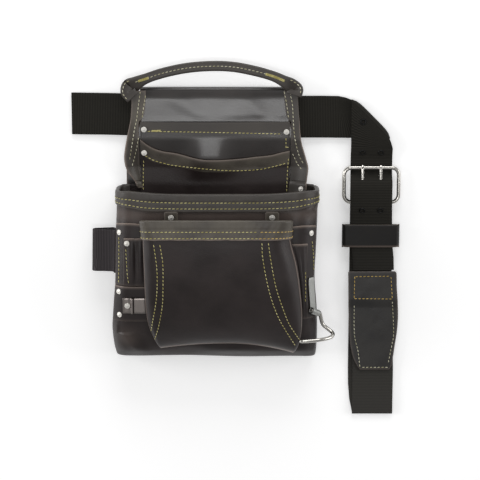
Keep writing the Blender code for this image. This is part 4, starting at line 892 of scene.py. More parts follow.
mesh = bmesh.new()
rings = []
for share in spaced(0.0, 1.0, HANDLE_RINGS):
    point, side, up = handle_frame(share)
    opened = read(HANDLE_LINE, share)[3]
    ring = bmesh.ops.create_circle(mesh, segments=HANDLE_SIDES, radius=1.0)["verts"]
    for vert in ring:
        a, b = vert.co.x, vert.co.y
        wide = math.copysign(abs(a) ** STRAP_SQUARE, a) * (1.0 if a > 0 else 1.0 + opened)
        high = math.copysign(abs(b) ** STRAP_FLAT, b)
        groove = GROOVE * math.exp(-(a / GROOVE_HALF) ** 2) * (b > 0)
        vert.co = point + side * (wide * HANDLE_WIDTH / 2) + up * (high * HANDLE_THICK / 2 - groove)
    rings.append(ring)
skin(mesh, rings)
put("handle_leather", mesh, [binding_leather], ["handle"])
print("handle rings:", len(rings))

# %% [markdown]
# ## Pockets on the pouch's corners
# Small pockets for a square, a pencil and a knife lie round the pouch's two front corners. They are
# sheets wrapped round the corner, so a helper turns a distance round the corner into a place.
# They could be bent by a modifier, but the corner's radius changes down the pouch. Two riveted
# tabs hold the front pouch's mouth, and are sheets laid on the main pouch's face.

# %% Corner pieces
TOP_LEFT, SLOT_TOP, PATCH_TOP, PATCH_LENGTH = -126.0, -142.0, -202.0, 44.0
TOP_RIGHT, RIGHT_LENGTH, SLIM_TOP = -129.0, 114.0, -149.0
LEFT_REACH, RIGHT_REACH = 22.0, 26.0
PLATE_TOP, PLATE_LENGTH, PLATE_WIDTH, PLATE_CLEAR, SLIM_CLEAR = -192.0, 43.0, 13.0, 13.4, 1.5
CORNER_COLUMNS, CORNER_ROW = 24, 1.8    # columns round the corner, and mm from row to row


def corner_point(y, side, distance, lift):
    """A point over the main pouch, going from its flat face round a corner: side -1 left, 1 right."""
    part = pouch_section(y)
    radius = part.left_round if side < 0 else part.right_round
    edge = part.left + radius if side < 0 else part.right - radius
    turn = min(max(distance / radius, 0.0), math.pi / 2)
    straight = max(distance - radius * math.pi / 2, 0.0)
    x = edge + side * (min(distance, 0.0) + (radius + lift) * math.sin(turn))
    return Vector((x, y, part.top - radius + (radius + lift) * math.cos(turn) - straight))


def under_front(y, side, tuck):
    """Distance round the corner to just under the front pouch's side."""
    front = front_section(clamp((FRONT_MOUTH - y) / FRONT_LENGTH))[0]
    part = pouch_section(y)
    if side < 0:
        return part.left + part.left_round - (front.left + tuck)
    return front.right - tuck - (part.right - part.right_round)


plate_distance = under_front(PLATE_TOP - PLATE_LENGTH, 1, 0.0) + PLATE_CLEAR


def corner_sheet(name, node, side, top, bottom, tuck, reach, layer, arch=0.0, folds=0.0):
    """A sheet round a corner, from tuck under the front pouch out to reach. Its mouth may arch."""
    lift = GAP + layer * (LEATHER + GAP)
    down = round((top - bottom) / CORNER_ROW)

    def place(i, j):
        y = top + (bottom - top) * j / down
        share = i / CORNER_COLUMNS if side > 0 else 1 - i / CORNER_COLUMNS
        start = under_front(y, side, tuck)
        distance = start + (reach - start) * share
        y += arch * (1 - j / down) * math.sin(math.pi * share)
        wave = folds * math.sin(share * 2.2 * math.pi) ** 2 * max(math.sin(math.pi * j / down), 0.0) ** 0.5
        return corner_point(y, side, distance, lift + wave * math.sin(math.pi * share))

    sheet(name, CORNER_COLUMNS, down, place, waxed_leather, [node], side=1.0, size=(34.0, top - bottom),
          worn=(0.9, 0.2, 0.15, 0.15), bevel=0.4)


corner_sheet("left_side_pocket", "side_pocket_left", -1, TOP_LEFT, PATCH_TOP + 1.2, 2.0, LEFT_REACH, 0, 2.0)
corner_sheet("left_slot_pocket", "slot_pocket_left", -1, SLOT_TOP, PATCH_TOP + 2.0, 0.6, LEFT_REACH * 0.36, 1,
             folds=2.0)
corner_sheet("clip_patch_leather", "clip_patch", -1, PATCH_TOP, PATCH_TOP - PATCH_LENGTH, 2.0, LEFT_REACH, 0)
corner_sheet("right_side_pocket", "side_pocket_right", 1, TOP_RIGHT, TOP_RIGHT - RIGHT_LENGTH, 2.0,
             RIGHT_REACH, 0, 2.0)
corner_sheet("right_slim_pocket", "slim_pocket_right", 1, SLIM_TOP, TOP_RIGHT - RIGHT_LENGTH + 1.0, 0.6,
             plate_distance - PLATE_WIDTH / 2 - SLIM_CLEAR, 1, folds=1.2)

# %% Front tabs
TAB_TOP, TAB_LENGTH = -110.0, 26.0
TAB_COLUMNS, TAB_ROWS = 12, 20
TAB_END = [(0.00, 0.84), (0.04, 0.94), (0.10, 1.00), (0.30, 1.00), (1.00, 1.00)]
for side_name, centre in (("left", TAB_LEFT), ("right", TAB_RIGHT)):
    def tab_place(i, j, middle=centre):
        half = TAB_WIDTH / 2 * read(TAB_END, j / TAB_ROWS)[0]
        y = TAB_TOP - TAB_LENGTH * j / TAB_ROWS
        return Vector((middle + half * (2 * i / TAB_COLUMNS - 1), y, pouch_section(y).top + GAP))

    sheet(f"front_tab_{side_name}_leather", TAB_COLUMNS, TAB_ROWS, tab_place, soft_leather,
          [f"front_tab_{side_name}"], side=1.0, size=(TAB_WIDTH, TAB_LENGTH), worn=(0.2, 0, 0.2, 0.2), bevel=0.4)

# %% [markdown]
# ## The belt
# One length of webbing makes the whole belt. It runs through the tunnel twice, turns down at a
# folded corner on the right, and the tongue comes back up through the buckle. The path is the
# solid's path, repeated here with more rows in each fold.
# A curve with a flat bevel could carry the web, but it twists in the folds. Here each row is laid
# straight across, so the web keeps its width.

# %% Belt path
WEB_WIDTH, BELT_LEFT, BELT_DROP = 50.8, -175.0, -0.0133
STRAP_X, CORNER_Y, STRAP_BOTTOM, STRAP_LEAN = 191.6, -3.6, -381.0, 5.6
TONGUE_END, CHAPE_END, PATCH_END = -193.0, -228.0, -322.0
BAR, FRAME_TOP, HEEL_BAR = 4.8, -65.0, -108.0
KEEPER_TOP, KEEPER_HEIGHT, KEEPER_WALL, KEEPER_WIDTH, KEEPER_BOW = -135.0, 28.0, 1.5, 71.0, 1.5
FOLD_IN, FOLD_EASE = 2.1, 16.0
FOLD_POINTS, TURN_POINTS, WRAP_POINTS = 14, 10, 16
TUNNEL = LEATHER + GAP
RAISED = KEEPER_WALL + GAP


def layer(number):
    return WEB / 2 + number * (WEB + GAP)


heel_z = layer(1) + WEB / 2 + GAP + BAR / 2
over_heel = layer(1) + 2 * WEB + BAR + 3 * GAP
TONGUE = [              # y and height of the tongue's middle, and how far it lies aside
    (TONGUE_END, layer(3), 4.0), (KEEPER_TOP - KEEPER_HEIGHT - 14.0, layer(3), 3.4),
    (KEEPER_TOP - KEEPER_HEIGHT - 3.0, layer(3) + RAISED, 2.0), (KEEPER_TOP + 2.0, layer(3) + RAISED, 0.6),
    (HEEL_BAR - 14.0, layer(1) + WEB + BAR + 2 * GAP + 1.6, 0.2), (HEEL_BAR - 5.0, over_heel, 0.0),
    (HEEL_BAR + 16.0, over_heel, 0.0), (HEEL_BAR + 24.0, over_heel, 0.0), (HEEL_BAR + 28.0, over_heel - 2.5, 0.0),
    (FRAME_TOP - 9.5, layer(1) + 1.0, 0.0), (FRAME_TOP - 7.0, layer(1), 0.0), (FRAME_TOP + 9.0, layer(1), 0.0),
    (FRAME_TOP + 16.0, layer(1) + 1.2, 0.0),
]


def level(x, z):
    return lambda c: Vector((x, CORNER_Y + BELT_DROP * (x - STRAP_X) + c, z))


def upright(y, z, aside=0.0):
    return lambda c: Vector((STRAP_X - c + aside, y, z))


def by_fold(back, z, down=False, out=0.0):
    """A row parallel to the fold and a distance back from it. Wear has pulled the fold's ends in."""
    ease = (1.0 - back / FOLD_EASE) ** 2

    def point(c):
        u = 2 * c / WEB_WIDTH
        roll = out * (1.0 - u ** 6)
        x = STRAP_X - c + roll - FOLD_IN * (1.0 - u) * ease
        y = CORNER_Y + c + roll - FOLD_IN * (1.0 + u) * ease
        return Vector((x, y - back, z)) if down else Vector((x - back, y, z))

    return point


def corner_fold(angle, low, high):
    """The belt turns down by a fold across it."""
    radius = (high - low) / 2
    return by_fold(0.0, (low + high) / 2 + radius * math.sin(angle), out=radius * math.cos(angle) * math.sqrt(0.5))


half_turn = math.pi / 2
half_web = WEB_WIDTH / 2
turn = (layer(1) - layer(0)) / 2
keeper_foot = KEEPER_TOP - KEEPER_HEIGHT
beside_fold = CORNER_Y - half_web - 12.0
wrap = BAR / 2 + GAP + WEB / 2
tunnel_run = ((STRAP_X - half_web - 16.0, 0.0), (PANEL_HALF + 40.0, 0.0), (PANEL_HALF + 14.0, TUNNEL),
              (-PANEL_HALF - 14.0, TUNNEL), (-PANEL_HALF - 40.0, 0.0))
path = [upright(*row) for row in TONGUE]
path.append(upright(beside_fold, layer(3)))
path += [by_fold(back, layer(3), True) for back in (8.0, 4.0)]
path += [corner_fold(a, layer(0), layer(3)) for a in spaced(half_turn, -half_turn, FOLD_POINTS)]
path += [by_fold(back, layer(0)) for back in (4.0, 8.0)]
path += [level(x, z + layer(0)) for x, z in tunnel_run]
path += [level(BELT_LEFT + turn + WEB / 2 - turn * math.cos(a), layer(0) + turn + turn * math.sin(a))
         for a in spaced(-half_turn, half_turn, TURN_POINTS)]
path += [level(x, z + layer(1)) for x, z in reversed(tunnel_run)]
path += [by_fold(back, layer(1)) for back in (8.0, 4.0)]
path += [corner_fold(a, layer(1), layer(2)) for a in spaced(-half_turn, half_turn, TURN_POINTS)]
path += [by_fold(back, layer(2), True) for back in (4.0, 8.0)]
path += [upright(y, z, aside) for y, z, aside in (
    (beside_fold, layer(2), 0.0), (FRAME_TOP + 16.0, layer(0) + 0.6, 0.0), (FRAME_TOP + 10.0, layer(0), 0.0),
    (HEEL_BAR, layer(0), 0.0), (PATCH_END, layer(0), 0.0), (PATCH_END - 20.0, layer(0), 0.4),
    (PATCH_END - 40.0, layer(0), 2.2))]
path += [upright(STRAP_BOTTOM + turn + WEB / 2 + turn * math.cos(a), layer(0) + turn - turn * math.sin(a), STRAP_LEAN)
         for a in spaced(half_turn, 3 * half_turn, TURN_POINTS)]
path += [upright(y, layer(1) + z, aside) for y, z, aside in (
    (PATCH_END, 0.0, STRAP_LEAN), (CHAPE_END - 20.0, 0.0, 3.4), (keeper_foot - 16.0, 0.0, 1.2),
    (keeper_foot - 4.0, RAISED, 0.4), (KEEPER_TOP + 3.0, RAISED, 0.0), (KEEPER_TOP + 14.0, 0.1, 0.0))]
path += [upright(HEEL_BAR + wrap * math.cos(a), heel_z + wrap * math.sin(a))
         for a in spaced(-half_turn, half_turn, WRAP_POINTS)]
path += [upright(y, z) for y, z in (
    (HEEL_BAR - 8.0, layer(1) + WEB + BAR + 2 * GAP - 0.9), (HEEL_BAR - 17.0, layer(2) + RAISED + 0.8),
    (KEEPER_TOP + 3.0, layer(2) + RAISED), (keeper_foot - 4.0, layer(2) + RAISED),
    (keeper_foot - 16.0, layer(2)), (CHAPE_END, layer(2)))]
print("belt path rows:", len(path))

# %% Belt
WEB_COLUMNS = 12
lengths = [0.0]
for before, after in zip(path, path[1:]):
    lengths.append(lengths[-1] + (after(0.0) - before(0.0)).length)


def off_middle(i):
    return half_web - WEB_WIDTH * i / WEB_COLUMNS


mesh, _ = grid(WEB_COLUMNS, len(path) - 1, lambda i, j: path[j](off_middle(i)),
               lambda i, j: (lengths[j], off_middle(i)))
belt = put("belt_web", mesh, [belt_webbing], ["belt_webbing"])
thicken(belt, WEB, 0.0, bevel=0.7, rim=0)
print("belt length", round(lengths[-1]), "mm")

# %% [markdown]
# ## Web loop, keeper and belt patch
# A loop of the same web, sewn to the pouch's left side, takes a tool. The keeper is a leather band
# round both ends of the belt, and the patch is the leather that is sewn over the end of the chape.
# Loop and patch are sheets like the others. A sheet could make the keeper too, but it would have
# a seam, so one ring of edges is drawn out into a band.

# %% Web loop
LOOP_TOP, LOOP_WIDTH, LOOP_REACH, LOOP_FOLD = -138.0, 52.0, 29.0, 5.0
LOOP_ROWS, FOLD_DOWN = 16, 11.0
part_top, part_low = pouch_section(LOOP_TOP), pouch_section(LOOP_TOP - LOOP_WIDTH)
loop_high = part_top.top - part_top.left_round
loop_low = part_top.base + part_top.low_round
against = GAP + WEB / 2
loop_line = [
    (against, loop_high), (against, loop_high - 5.0), (against + 4.0, loop_high - 9.0),
    (LOOP_REACH * 0.55, loop_high - 10.5), (LOOP_REACH - LOOP_FOLD, loop_high - FOLD_DOWN)]
loop_line += [(LOOP_REACH - LOOP_FOLD * (1 - math.cos(a)), loop_high - FOLD_DOWN - LOOP_FOLD * (1 - math.sin(a)))
              for a in spaced(half_turn, -half_turn, 10)[1:]]
loop_line += [(LOOP_REACH * 0.55, loop_high - 22.5), (against + 4.0, loop_low - 2.0), (against, loop_low + 2.0),
              (against, loop_low + 7.0)]


def loop_place(i, j):
    share = j / LOOP_ROWS
    out, z = loop_line[i]
    wall_x = part_top.left + (part_low.left - part_top.left) * share
    return Vector((wall_x - out, LOOP_TOP - LOOP_WIDTH * share, z))


loop_piece = sheet("tool_loop_web", len(loop_line) - 1, LOOP_ROWS, loop_place, loop_webbing, ["web_loop"],
                   wall=WEB, side=0.0, size=(LOOP_WIDTH, LOOP_WIDTH), slot="webbing")
# The ribs run across the web, so the loop's map follows its line.
loop_lengths = [0.0]
for (a, b), (c, d) in zip(loop_line, loop_line[1:]):
    loop_lengths.append(loop_lengths[-1] + math.hypot(c - a, d - b))
for loop in loop_piece.data.loops:
    point = loop_piece.data.vertices[loop.vertex_index].co / MM
    i = min(range(len(loop_line)), key=lambda k: abs(part_top.left - loop_line[k][0] - point.x)
            + abs(loop_line[k][1] - point.z))
    loop_piece.data.uv_layers["web"].data[loop.index].uv = (loop_lengths[i] * MM, point.y * MM)

# %% Keeper
keeper_low = layer(0) + WEB / 2 + GAP
keeper_high = TONGUE[2][1] + WEB / 2 + GAP + KEEPER_WALL
keeper_rise = (keeper_high - keeper_low) / 2
keeper_middle = (keeper_high + keeper_low) / 2
KEEPER_ROWS, KEEPER_RUBBED = 10, 0.7
mesh = bmesh.new()
ring = []
for side in (1, -1):
    for a in spaced(-half_turn, half_turn, FOLD_POINTS):
        x = STRAP_X + side * (KEEPER_WIDTH / 2 - keeper_rise + keeper_rise * math.cos(a))
        rise = keeper_rise * math.sin(a * side)
        bow = KEEPER_BOW * ((x - STRAP_X) * 2 / KEEPER_WIDTH) ** 2 * (rise > 0)
        ring.append(mesh.verts.new((x, KEEPER_TOP + bow - KEEPER_BOW, keeper_middle + rise)))
edges = [mesh.edges.new((a, b)) for a, b in zip(ring, ring[1:] + ring[:1])]
for step in range(KEEPER_ROWS):
    made = bmesh.ops.extrude_edge_only(mesh, edges=edges)["geom"]
    edges = [e for e in made if isinstance(e, bmesh.types.BMEdge)]
    moved = [v for v in made if isinstance(v, bmesh.types.BMVert)]
    bmesh.ops.translate(mesh, verts=moved, vec=(0.0, -KEEPER_HEIGHT / KEEPER_ROWS, 0.0))
bmesh.ops.recalc_face_normals(mesh, faces=mesh.faces)
mesh.faces.ensure_lookup_table()
top_face = max(mesh.faces, key=lambda f: f.calc_center_median().z)
if top_face.normal.z < 0:
    bmesh.ops.reverse_faces(mesh, faces=mesh.faces)
edge = mesh.verts.layers.float.new("edge")
for vert in mesh.verts:
    vert[edge] = KEEPER_RUBBED if vert.co.y < keeper_foot + 0.5 else 0.0
keeper = put("keeper_leather", mesh, [black_leather, cut_edge], ["keeper"])
thicken(keeper, KEEPER_WALL, -1.0)
print("keeper points:", len(keeper.data.vertices))

# %% Belt patch
PATCH_START, PATCH_DOWN, PATCH_HALF = -195.0, 127.0, 31.0
PATCH_COLUMNS, PATCH_ROWS = 40, 90
PATCH_RIPPLE = (22.0, 0.5)
CHAPE_STEP = 12.0       # mm over which the patch comes down off the chape's end
BELT_PATCH = [          # shares: down, left, right
    (0.000, 0.84, 1.00), (0.010, 0.87, 1.05), (0.050, 0.87, 1.07), (0.150, 0.86, 1.08), (0.300, 0.85, 1.13),
    (0.450, 0.83, 1.16), (0.600, 0.80, 1.13), (0.750, 0.74, 1.05), (0.880, 0.62, 0.98), (0.960, 0.46, 0.93),
    (1.000, 0.34, 0.84),
]


def patch_place(i, j):
    down = j / PATCH_ROWS
    y = PATCH_START - down * PATCH_DOWN
    left, right = read(BELT_PATCH, down)
    x = STRAP_X + (-left + (left + right) * i / PATCH_COLUMNS) * PATCH_HALF
    step = eased((CHAPE_END - 2.0 - y) / CHAPE_STEP)
    z = layer(2) + (layer(1) - layer(2)) * step + WEB / 2 + GAP
    return Vector((x, y, z + max(ripple(x, y, *PATCH_RIPPLE), 0.0)))


sheet("belt_patch_leather", PATCH_COLUMNS, PATCH_ROWS, patch_place, patch_leather, ["belt_patch"], side=1.0,
      size=(62.0, PATCH_DOWN), worn=(0.2, 0.3, 0.3, 0.3))

# %% [markdown]
# ## Hardware
# The buckle is a bent and welded wire frame with two flat prongs. Bent wire is a circle carried
# along a line, so one helper makes the buckle, the prongs and the hammer wire.

# %% Wire helper
END_GROW = 0.72         # a bar's end is rounded off to this share of its section


def wire(name, line, section, look, node, body="apron", closed=False, first_side=None):
    """A bar along a line. section lists its outline as (sideways, outwards) in millimetres."""
    mesh = bmesh.new()
    rings = []
    side = first_side
    count = len(line)
    for index, point in enumerate(line):
        before = line[index - 1] if closed or index else line[0]
        after = line[(index + 1) % count] if closed or index < count - 1 else line[-1]
        ahead = (after - before).normalized()
        side = side or ahead.orthogonal().normalized()
        side = (side - ahead * side.dot(ahead)).normalized()
        up = ahead.cross(side)
        ring = bmesh.ops.create_circle(mesh, segments=len(section), radius=1.0)["verts"]
        grow = 1.0 if closed or 0 < index < count - 1 else END_GROW
        for vert, (a, b) in zip(ring, section):
            vert.co = point + (side * a + up * b) * grow
        rings.append(ring)
    skin(mesh, rings, closed)
    return put(name, mesh, [look], [node], body)


def round_bar(diameter, sides=16):
    return [(math.cos(a) * diameter / 2, math.sin(a) * diameter / 2)
            for a in spaced(0.0, 2 * math.pi, sides)[:-1]]


def flat_bar(width, thick, corner=0.5):
    w, t, c = width / 2, thick / 2, corner
    return [(w, -t + c), (w, t - c), (w - c, t), (-w + c, t), (-w, t - c), (-w, -t + c), (-w + c, -t), (w - c, -t)]


def smooth_line(points, steps):
    rows = [(index, *point) for index, point in enumerate(points)]
    return [Vector(read(rows, share)) for share in spaced(0.0, len(points) - 1.0, steps * (len(points) - 1))]


# %% Buckle
FRAME_WIDTH, FRAME_ROUND = 67.0, 9.0
PRONG_SPREAD, PRONG_WIDTH, PRONG_THICK, PRONG_OVERHANG = 22.4, 3.4, 2.0, 3.8
centre = Vector((STRAP_X, (FRAME_TOP + HEEL_BAR) / 2, heel_z))
half_x = FRAME_WIDTH / 2 - FRAME_ROUND
half_y = (FRAME_TOP - HEEL_BAR) / 2 - FRAME_ROUND
frame_line = []
for corner, (sx, sy) in enumerate(((1, 1), (-1, 1), (-1, -1), (1, -1))):
    for a in spaced(corner * half_turn, (corner + 1) * half_turn, TURN_POINTS):
        frame_line.append(centre + Vector((sx * half_x + FRAME_ROUND * math.cos(a),
                                           sy * half_y + FRAME_ROUND * math.sin(a), 0.0)))
wire("buckle_bar", frame_line, round_bar(BAR), nickel_plate, "buckle_frame", closed=True)
reach = BAR / 2 + GAP + PRONG_THICK / 2
for side_name, x in (("left", STRAP_X - PRONG_SPREAD / 2), ("right", STRAP_X + PRONG_SPREAD / 2)):
    prong = [Vector((x, HEEL_BAR + reach * math.cos(a), heel_z + reach * math.sin(a)))
             for a in spaced(math.radians(-60), math.radians(-270), 20)]
    prong += [Vector((x, y, heel_z + reach)) for y in spaced(HEEL_BAR + 4.0, FRAME_TOP + PRONG_OVERHANG, 8)]
    wire(f"prong_{side_name}_bar", prong, flat_bar(PRONG_WIDTH, PRONG_THICK), nickel_plate,
         f"buckle_prong_{side_name}", first_side=Vector((1.0, 0.0, 0.0)))
print("buckle made")

# %% [markdown]
# The hammer holder is a plate on the pouch's right corner whose lower end curls round a bent wire.
# The wire swings in that curl, so it rides on its own body, turned about the curl's axis.
# The plate could be cut from a block, but bent sheet keeps one thickness round its curl, so it is
# a sheet with a steel wall.

# %% Hammer plate and wire
WIRE, PLATE_SHEET, PLATE_SLANT = 4.6, 1.4, 6.0
PLATE_CURL, CURL_POINTS = math.radians(290), 22
PLATE_LEFT, PLATE_RIGHT, PLATE_HEAD = 0.8, 0.7, 0.8     # shares of the half width, and of it at the top
RING_OUT, RING_DROP, RING_DIP = 17.5, 25.0, 5.0
RING_END_OUT, RING_END_UP, RING_END_LIFT = 3.5, 10.8, 4.3
BACK_LEG = ((0.30, 0.58, 1.0), (0.66, 0.82, 0.8), (1.00, 1.00, 0.0))    # shares: out, down, dip
FRONT_LEG = (           # shares of the way back to the wire's tip: out, down, rise
    (0.97, 0.55, 0.40), (0.83, 0.34, 0.73), (0.60, 0.22, 1.03), (0.31, 0.11, 1.17), (0.08, 0.03, 1.17), (0, 0, 1))
PIN_START = (117.17, -232.0, 59.2)      # the joint's own place and line
PIN_ALONG = (0.6420, -0.4191, -0.6420)
plate_y = PLATE_TOP - PLATE_LENGTH
radius = pouch_section(plate_y).right_round
plate_turn = min(plate_distance / radius, half_turn)
plate_normal = Vector((math.sin(plate_turn), 0.0, math.cos(plate_turn)))
plate_width = Vector((plate_normal.z, 0.0, -plate_normal.x))


def plate_seat(y):
    return corner_point(y, 1, plate_distance, GAP + LEATHER + GAP + PLATE_SHEET / 2)


knuckle = WIRE / 2 + GAP + PLATE_SHEET / 2
start = Vector(PIN_START)
along = Vector(PIN_ALONG).normalized()
end = start + along * math.hypot(PLATE_WIDTH, PLATE_SLANT)
down_plate = plate_normal.cross(along).normalized()
down_plate = -down_plate if down_plate.y > 0 else down_plate
plate_rows = []
for share in spaced(0.0, 1.0, 12):
    seat = plate_seat(PLATE_TOP - share * (PLATE_LENGTH - 4.0))
    half = plate_width * (PLATE_WIDTH / 2) * (PLATE_HEAD if share == 0 else 1.0)
    plate_rows.append((seat - half * PLATE_LEFT, seat + half * PLATE_RIGHT))
for a in spaced(0.0, PLATE_CURL, CURL_POINTS):
    spoke = (-plate_normal * math.cos(a) + down_plate * math.sin(a)) * knuckle
    plate_rows.append((start + spoke, end + spoke))
sheet("hammer_plate_steel", 6, len(plate_rows) - 1,
      lambda i, j: plate_rows[j][0].lerp(plate_rows[j][1], i / 6), zinc_plate, ["hammer_plate"],
      wall=PLATE_SHEET, side=0.0, size=(PLATE_WIDTH, 60.0), worn=(0, 0, 0, 0), slot="zinc", bevel=0.3)

wire_line = [start + along, (start + end) / 2, end, end + along * 3.0]
for out, down, dip in BACK_LEG:
    wire_line.append(end + Vector((out * RING_OUT, -down * RING_DROP, -dip * RING_DIP)))
tip = wire_line[-1]
corner_row = FRONT[-2]
front_part = front_section(corner_row[0])[0]
foot = FRONT_MOUTH - (corner_row[0] + corner_row[6]) * FRONT_LENGTH
last = Vector((front_part.right + RING_END_OUT, foot + RING_END_UP, front_part.top + RING_END_LIFT))
back = tip - last
for out, down, rise in FRONT_LEG:
    wire_line.append(last + Vector((back.x * out, back.y * down, back.z * (1.0 - rise))))
wire("hammer_wire", smooth_line(wire_line, 5), round_bar(WIRE), nickel_plate, "hammer_ring", "hammer_ring")

# %% [markdown]
# The tape clip is one strip of springy steel on a leather patch: a riveted foot, a short step up and
# a tongue that points under the front pouch.
# It could be extruded from its side view. A sheet along that line keeps its thickness in the bends.

# %% Tape clip
CLIP_TOP, CLIP_WIDTH, CLIP_SHEET, CLIP_ROWS = -216.0, 19.0, 1.0, 8
CLIP_BASE, CLIP_STEP, CLIP_HEEL, CLIP_RISE, CLIP_TUCK = -112.0, -101.0, 1.4, 3.0, 0.3
clip_seat = pouch_section(CLIP_TOP).top + 2 * GAP + LEATHER
clip_tip = front_section((FRONT_MOUTH - CLIP_TOP) / FRONT_LENGTH)[0].left + CLIP_TUCK
clip_line = [
    (CLIP_BASE, 0.0), (CLIP_STEP - CLIP_HEEL, 0.0), (CLIP_STEP - 0.6, 0.4), (CLIP_STEP, CLIP_RISE),
    (CLIP_STEP + 1.0, CLIP_RISE + 0.3), (CLIP_STEP + 2.4, 1.2), (clip_tip, 0.9)]
clip_dense = [(ax + (bx - ax) * s, az + (bz - az) * s) for (ax, az), (bx, bz) in zip(clip_line, clip_line[1:])
              for s in spaced(0.0, 1.0, 3)[:-1]] + clip_line[-1:]
sheet("tape_clip_steel", len(clip_dense) - 1, CLIP_ROWS,
      lambda i, j: Vector((clip_dense[i][0], CLIP_TOP - CLIP_WIDTH * j / CLIP_ROWS, clip_seat + clip_dense[i][1])),
      clip_plate, ["tape_clip"], wall=CLIP_SHEET, side=1.0, size=(28.0, CLIP_WIDTH), worn=(0, 0, 0, 0),
      slot="nickel", bevel=0.25)

# %% [markdown]
# Rivets and eyelets keep the solids' places, read from the solids' own boxes, and get the shape that
# the real ones have: a domed cap with a rolled edge, and a rolled ring with a dark throat.
# They could be cut from cylinders, but a profile spun round its axis gives the roll in one step.

# %% Rivets and eyelets


def turned(name, node, profile, look, axis, shift=Vector()):
    """A turned piece on its solid's foot. The profile is (radius, height) pairs."""
    low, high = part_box(node)
    middle = (low + high) / 2 / MM + shift
    mesh = bmesh.new()
    line = [mesh.verts.new((r, 0.0, h)) for r, h in profile]
    edges = [mesh.edges.new(pair) for pair in zip(line, line[1:])]
    bmesh.ops.spin(mesh, geom=line + edges, cent=(0, 0, 0), axis=(0, 0, 1), angle=2 * math.pi, steps=24,
                   use_merge=True)
    bmesh.ops.remove_doubles(mesh, verts=mesh.verts, dist=0.001)
    bmesh.ops.recalc_face_normals(mesh, faces=mesh.faces)
    rise = max(h for _, h in profile) / 2
    turn_to = Vector((0, 0, 1)).rotation_difference(axis).to_matrix().to_4x4()
    bmesh.ops.transform(mesh, matrix=Matrix.Translation(middle) @ turn_to @ Matrix.Translation((0, 0, -rise)),
                        verts=mesh.verts)
    return put(name, mesh, [look], [node])


RIVET = [(0.0, 1.6), (0.9, 1.5), (1.9, 1.15), (2.5, 1.0), (2.9, 1.15), (3.3, 0.95), (3.5, 0.5), (3.4, 0.0), (0.0, 0.0)]
EYELET = [(2.3, 0.0), (2.3, 0.55), (2.6, 0.85), (3.05, 0.9), (3.5, 0.65), (3.8, 0.1), (3.8, 0.0), (2.3, 0.0)]
EYELET_WIDTH, EYELET_FLAT = 7.6, 0.0012
PANEL_SHIFTS = {"rivet_rear_left": -4.0, "rivet_rear_right": 4.5, "rivet_front_left": -4.0}
CORNER_RIVETS = {       # y, side, distance round the corner here and in the solid
    "rivet_side_left": (TOP_LEFT - 10.0, -1, 15.0, 15.0), "rivet_slot_left": (SLOT_TOP - 6.0, -1, 4.4, 4.4),
    "rivet_patch_top": (PATCH_TOP - 7.0, -1, 13.0, 16.5), "rivet_patch_low": (PATCH_TOP - 36.0, -1, 10.0, 14.5),
    "rivet_side_right": (TOP_RIGHT - 8.0, 1, 18.0, 18.0),
}
MOUTH_AXIS = Vector((-0.53, 0.0, 0.85)).normalized()


def rivet_seat(name):
    """A rivet's axis, and how far it sits from its solid."""
    if name not in CORNER_RIVETS:
        axis = MOUTH_AXIS if name == "rivet_mouth" else Vector((0.0, 0.0, 1.0))
        return axis, Vector((PANEL_SHIFTS.get(name, 0.0), 0.0, 0.0))
    y, side, here, solid = CORNER_RIVETS[name]
    part = pouch_section(y)
    angle = min(here / (part.left_round if side < 0 else part.right_round), half_turn)
    shift = corner_point(y, side, here, 0.0) - corner_point(y, side, solid, 0.0)
    return Vector((side * math.sin(angle), 0.0, math.cos(angle))), shift


for name in sorted(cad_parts):
    if name.startswith("rivet_"):
        axis, shift = rivet_seat(name)
        turned(name.replace("rivet", "cap"), name, RIVET, rivet_plate, axis, shift)
    if name.startswith("eyelet_"):
        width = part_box(name)[1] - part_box(name)[0]
        lean = math.acos(min(width.y / MM / EYELET_WIDTH, 1.0)) if width.z > EYELET_FLAT else 0.0
        turned(name.replace("eyelet", "ring"), name, EYELET, black_plate,
               Vector((0.0, -math.sin(lean), math.cos(lean))))

# %% [markdown]
# ## Stitches
# The apron is sewn with thick thread, so each stitch is a little sausage of thread that lies in the
# surface. A picture of dashes would look flat from the side. A seam is given by the photograph's
# own pixels: the camera's ray through each pixel finds the leather that carries the seam, so the
# stitches sit on it from every side.

# %% Seam helpers
PITCH, STITCH, THREAD = 4.8, 3.4, 1.0
TACK = {"pitch": 2.2, "length": 3.0}
SLANT, LYING, LEAP = 0.1, 0.22, 12.0    # a stitch's turn, its lift in threads, and a gap in mm that isn't sewn
surfaces = {}


def surface(name):
    """A tree of a piece's faces, moved out to the top of its wall."""
    if name not in surfaces:
        mesh = bmesh.new()
        mesh.from_mesh(pieces[name].data)
        mesh.normal_update()
        for vert in mesh.verts:
            vert.co += vert.normal * piece_lifts.get(name, 0.0) * MM
        surfaces[name] = BVHTree.FromBMesh(mesh)
        mesh.free()
    return surfaces[name]


def seen(name, pixel):
    """The point and normal of a piece that the camera sees at a pixel, or None beside the piece."""
    ray = Vector((pixel[0] - PICTURE / 2, 0.0, 0.0))
    ray += Vector((0.0, math.cos(TILT), -math.sin(TILT))) * (PICTURE / 2 - pixel[1])
    ray = (ray - to_camera * focal).normalized()
    point, normal, _, _ = surface(name).ray_cast(eye * MM, ray)
    return None if point is None else (point / MM, normal)


def photo_seam(name, pixels):
    """A seam as points and normals on a piece, from a line of the photograph's pixels."""
    rows = [(index, *pixel) for index, pixel in enumerate(pixels)]
    steps = 12 * (len(pixels) - 1)
    found = [seen(name, read(rows, share)) for share in spaced(0.0, len(pixels) - 1.0, steps)]
    return [spot for spot in found if spot is not None]


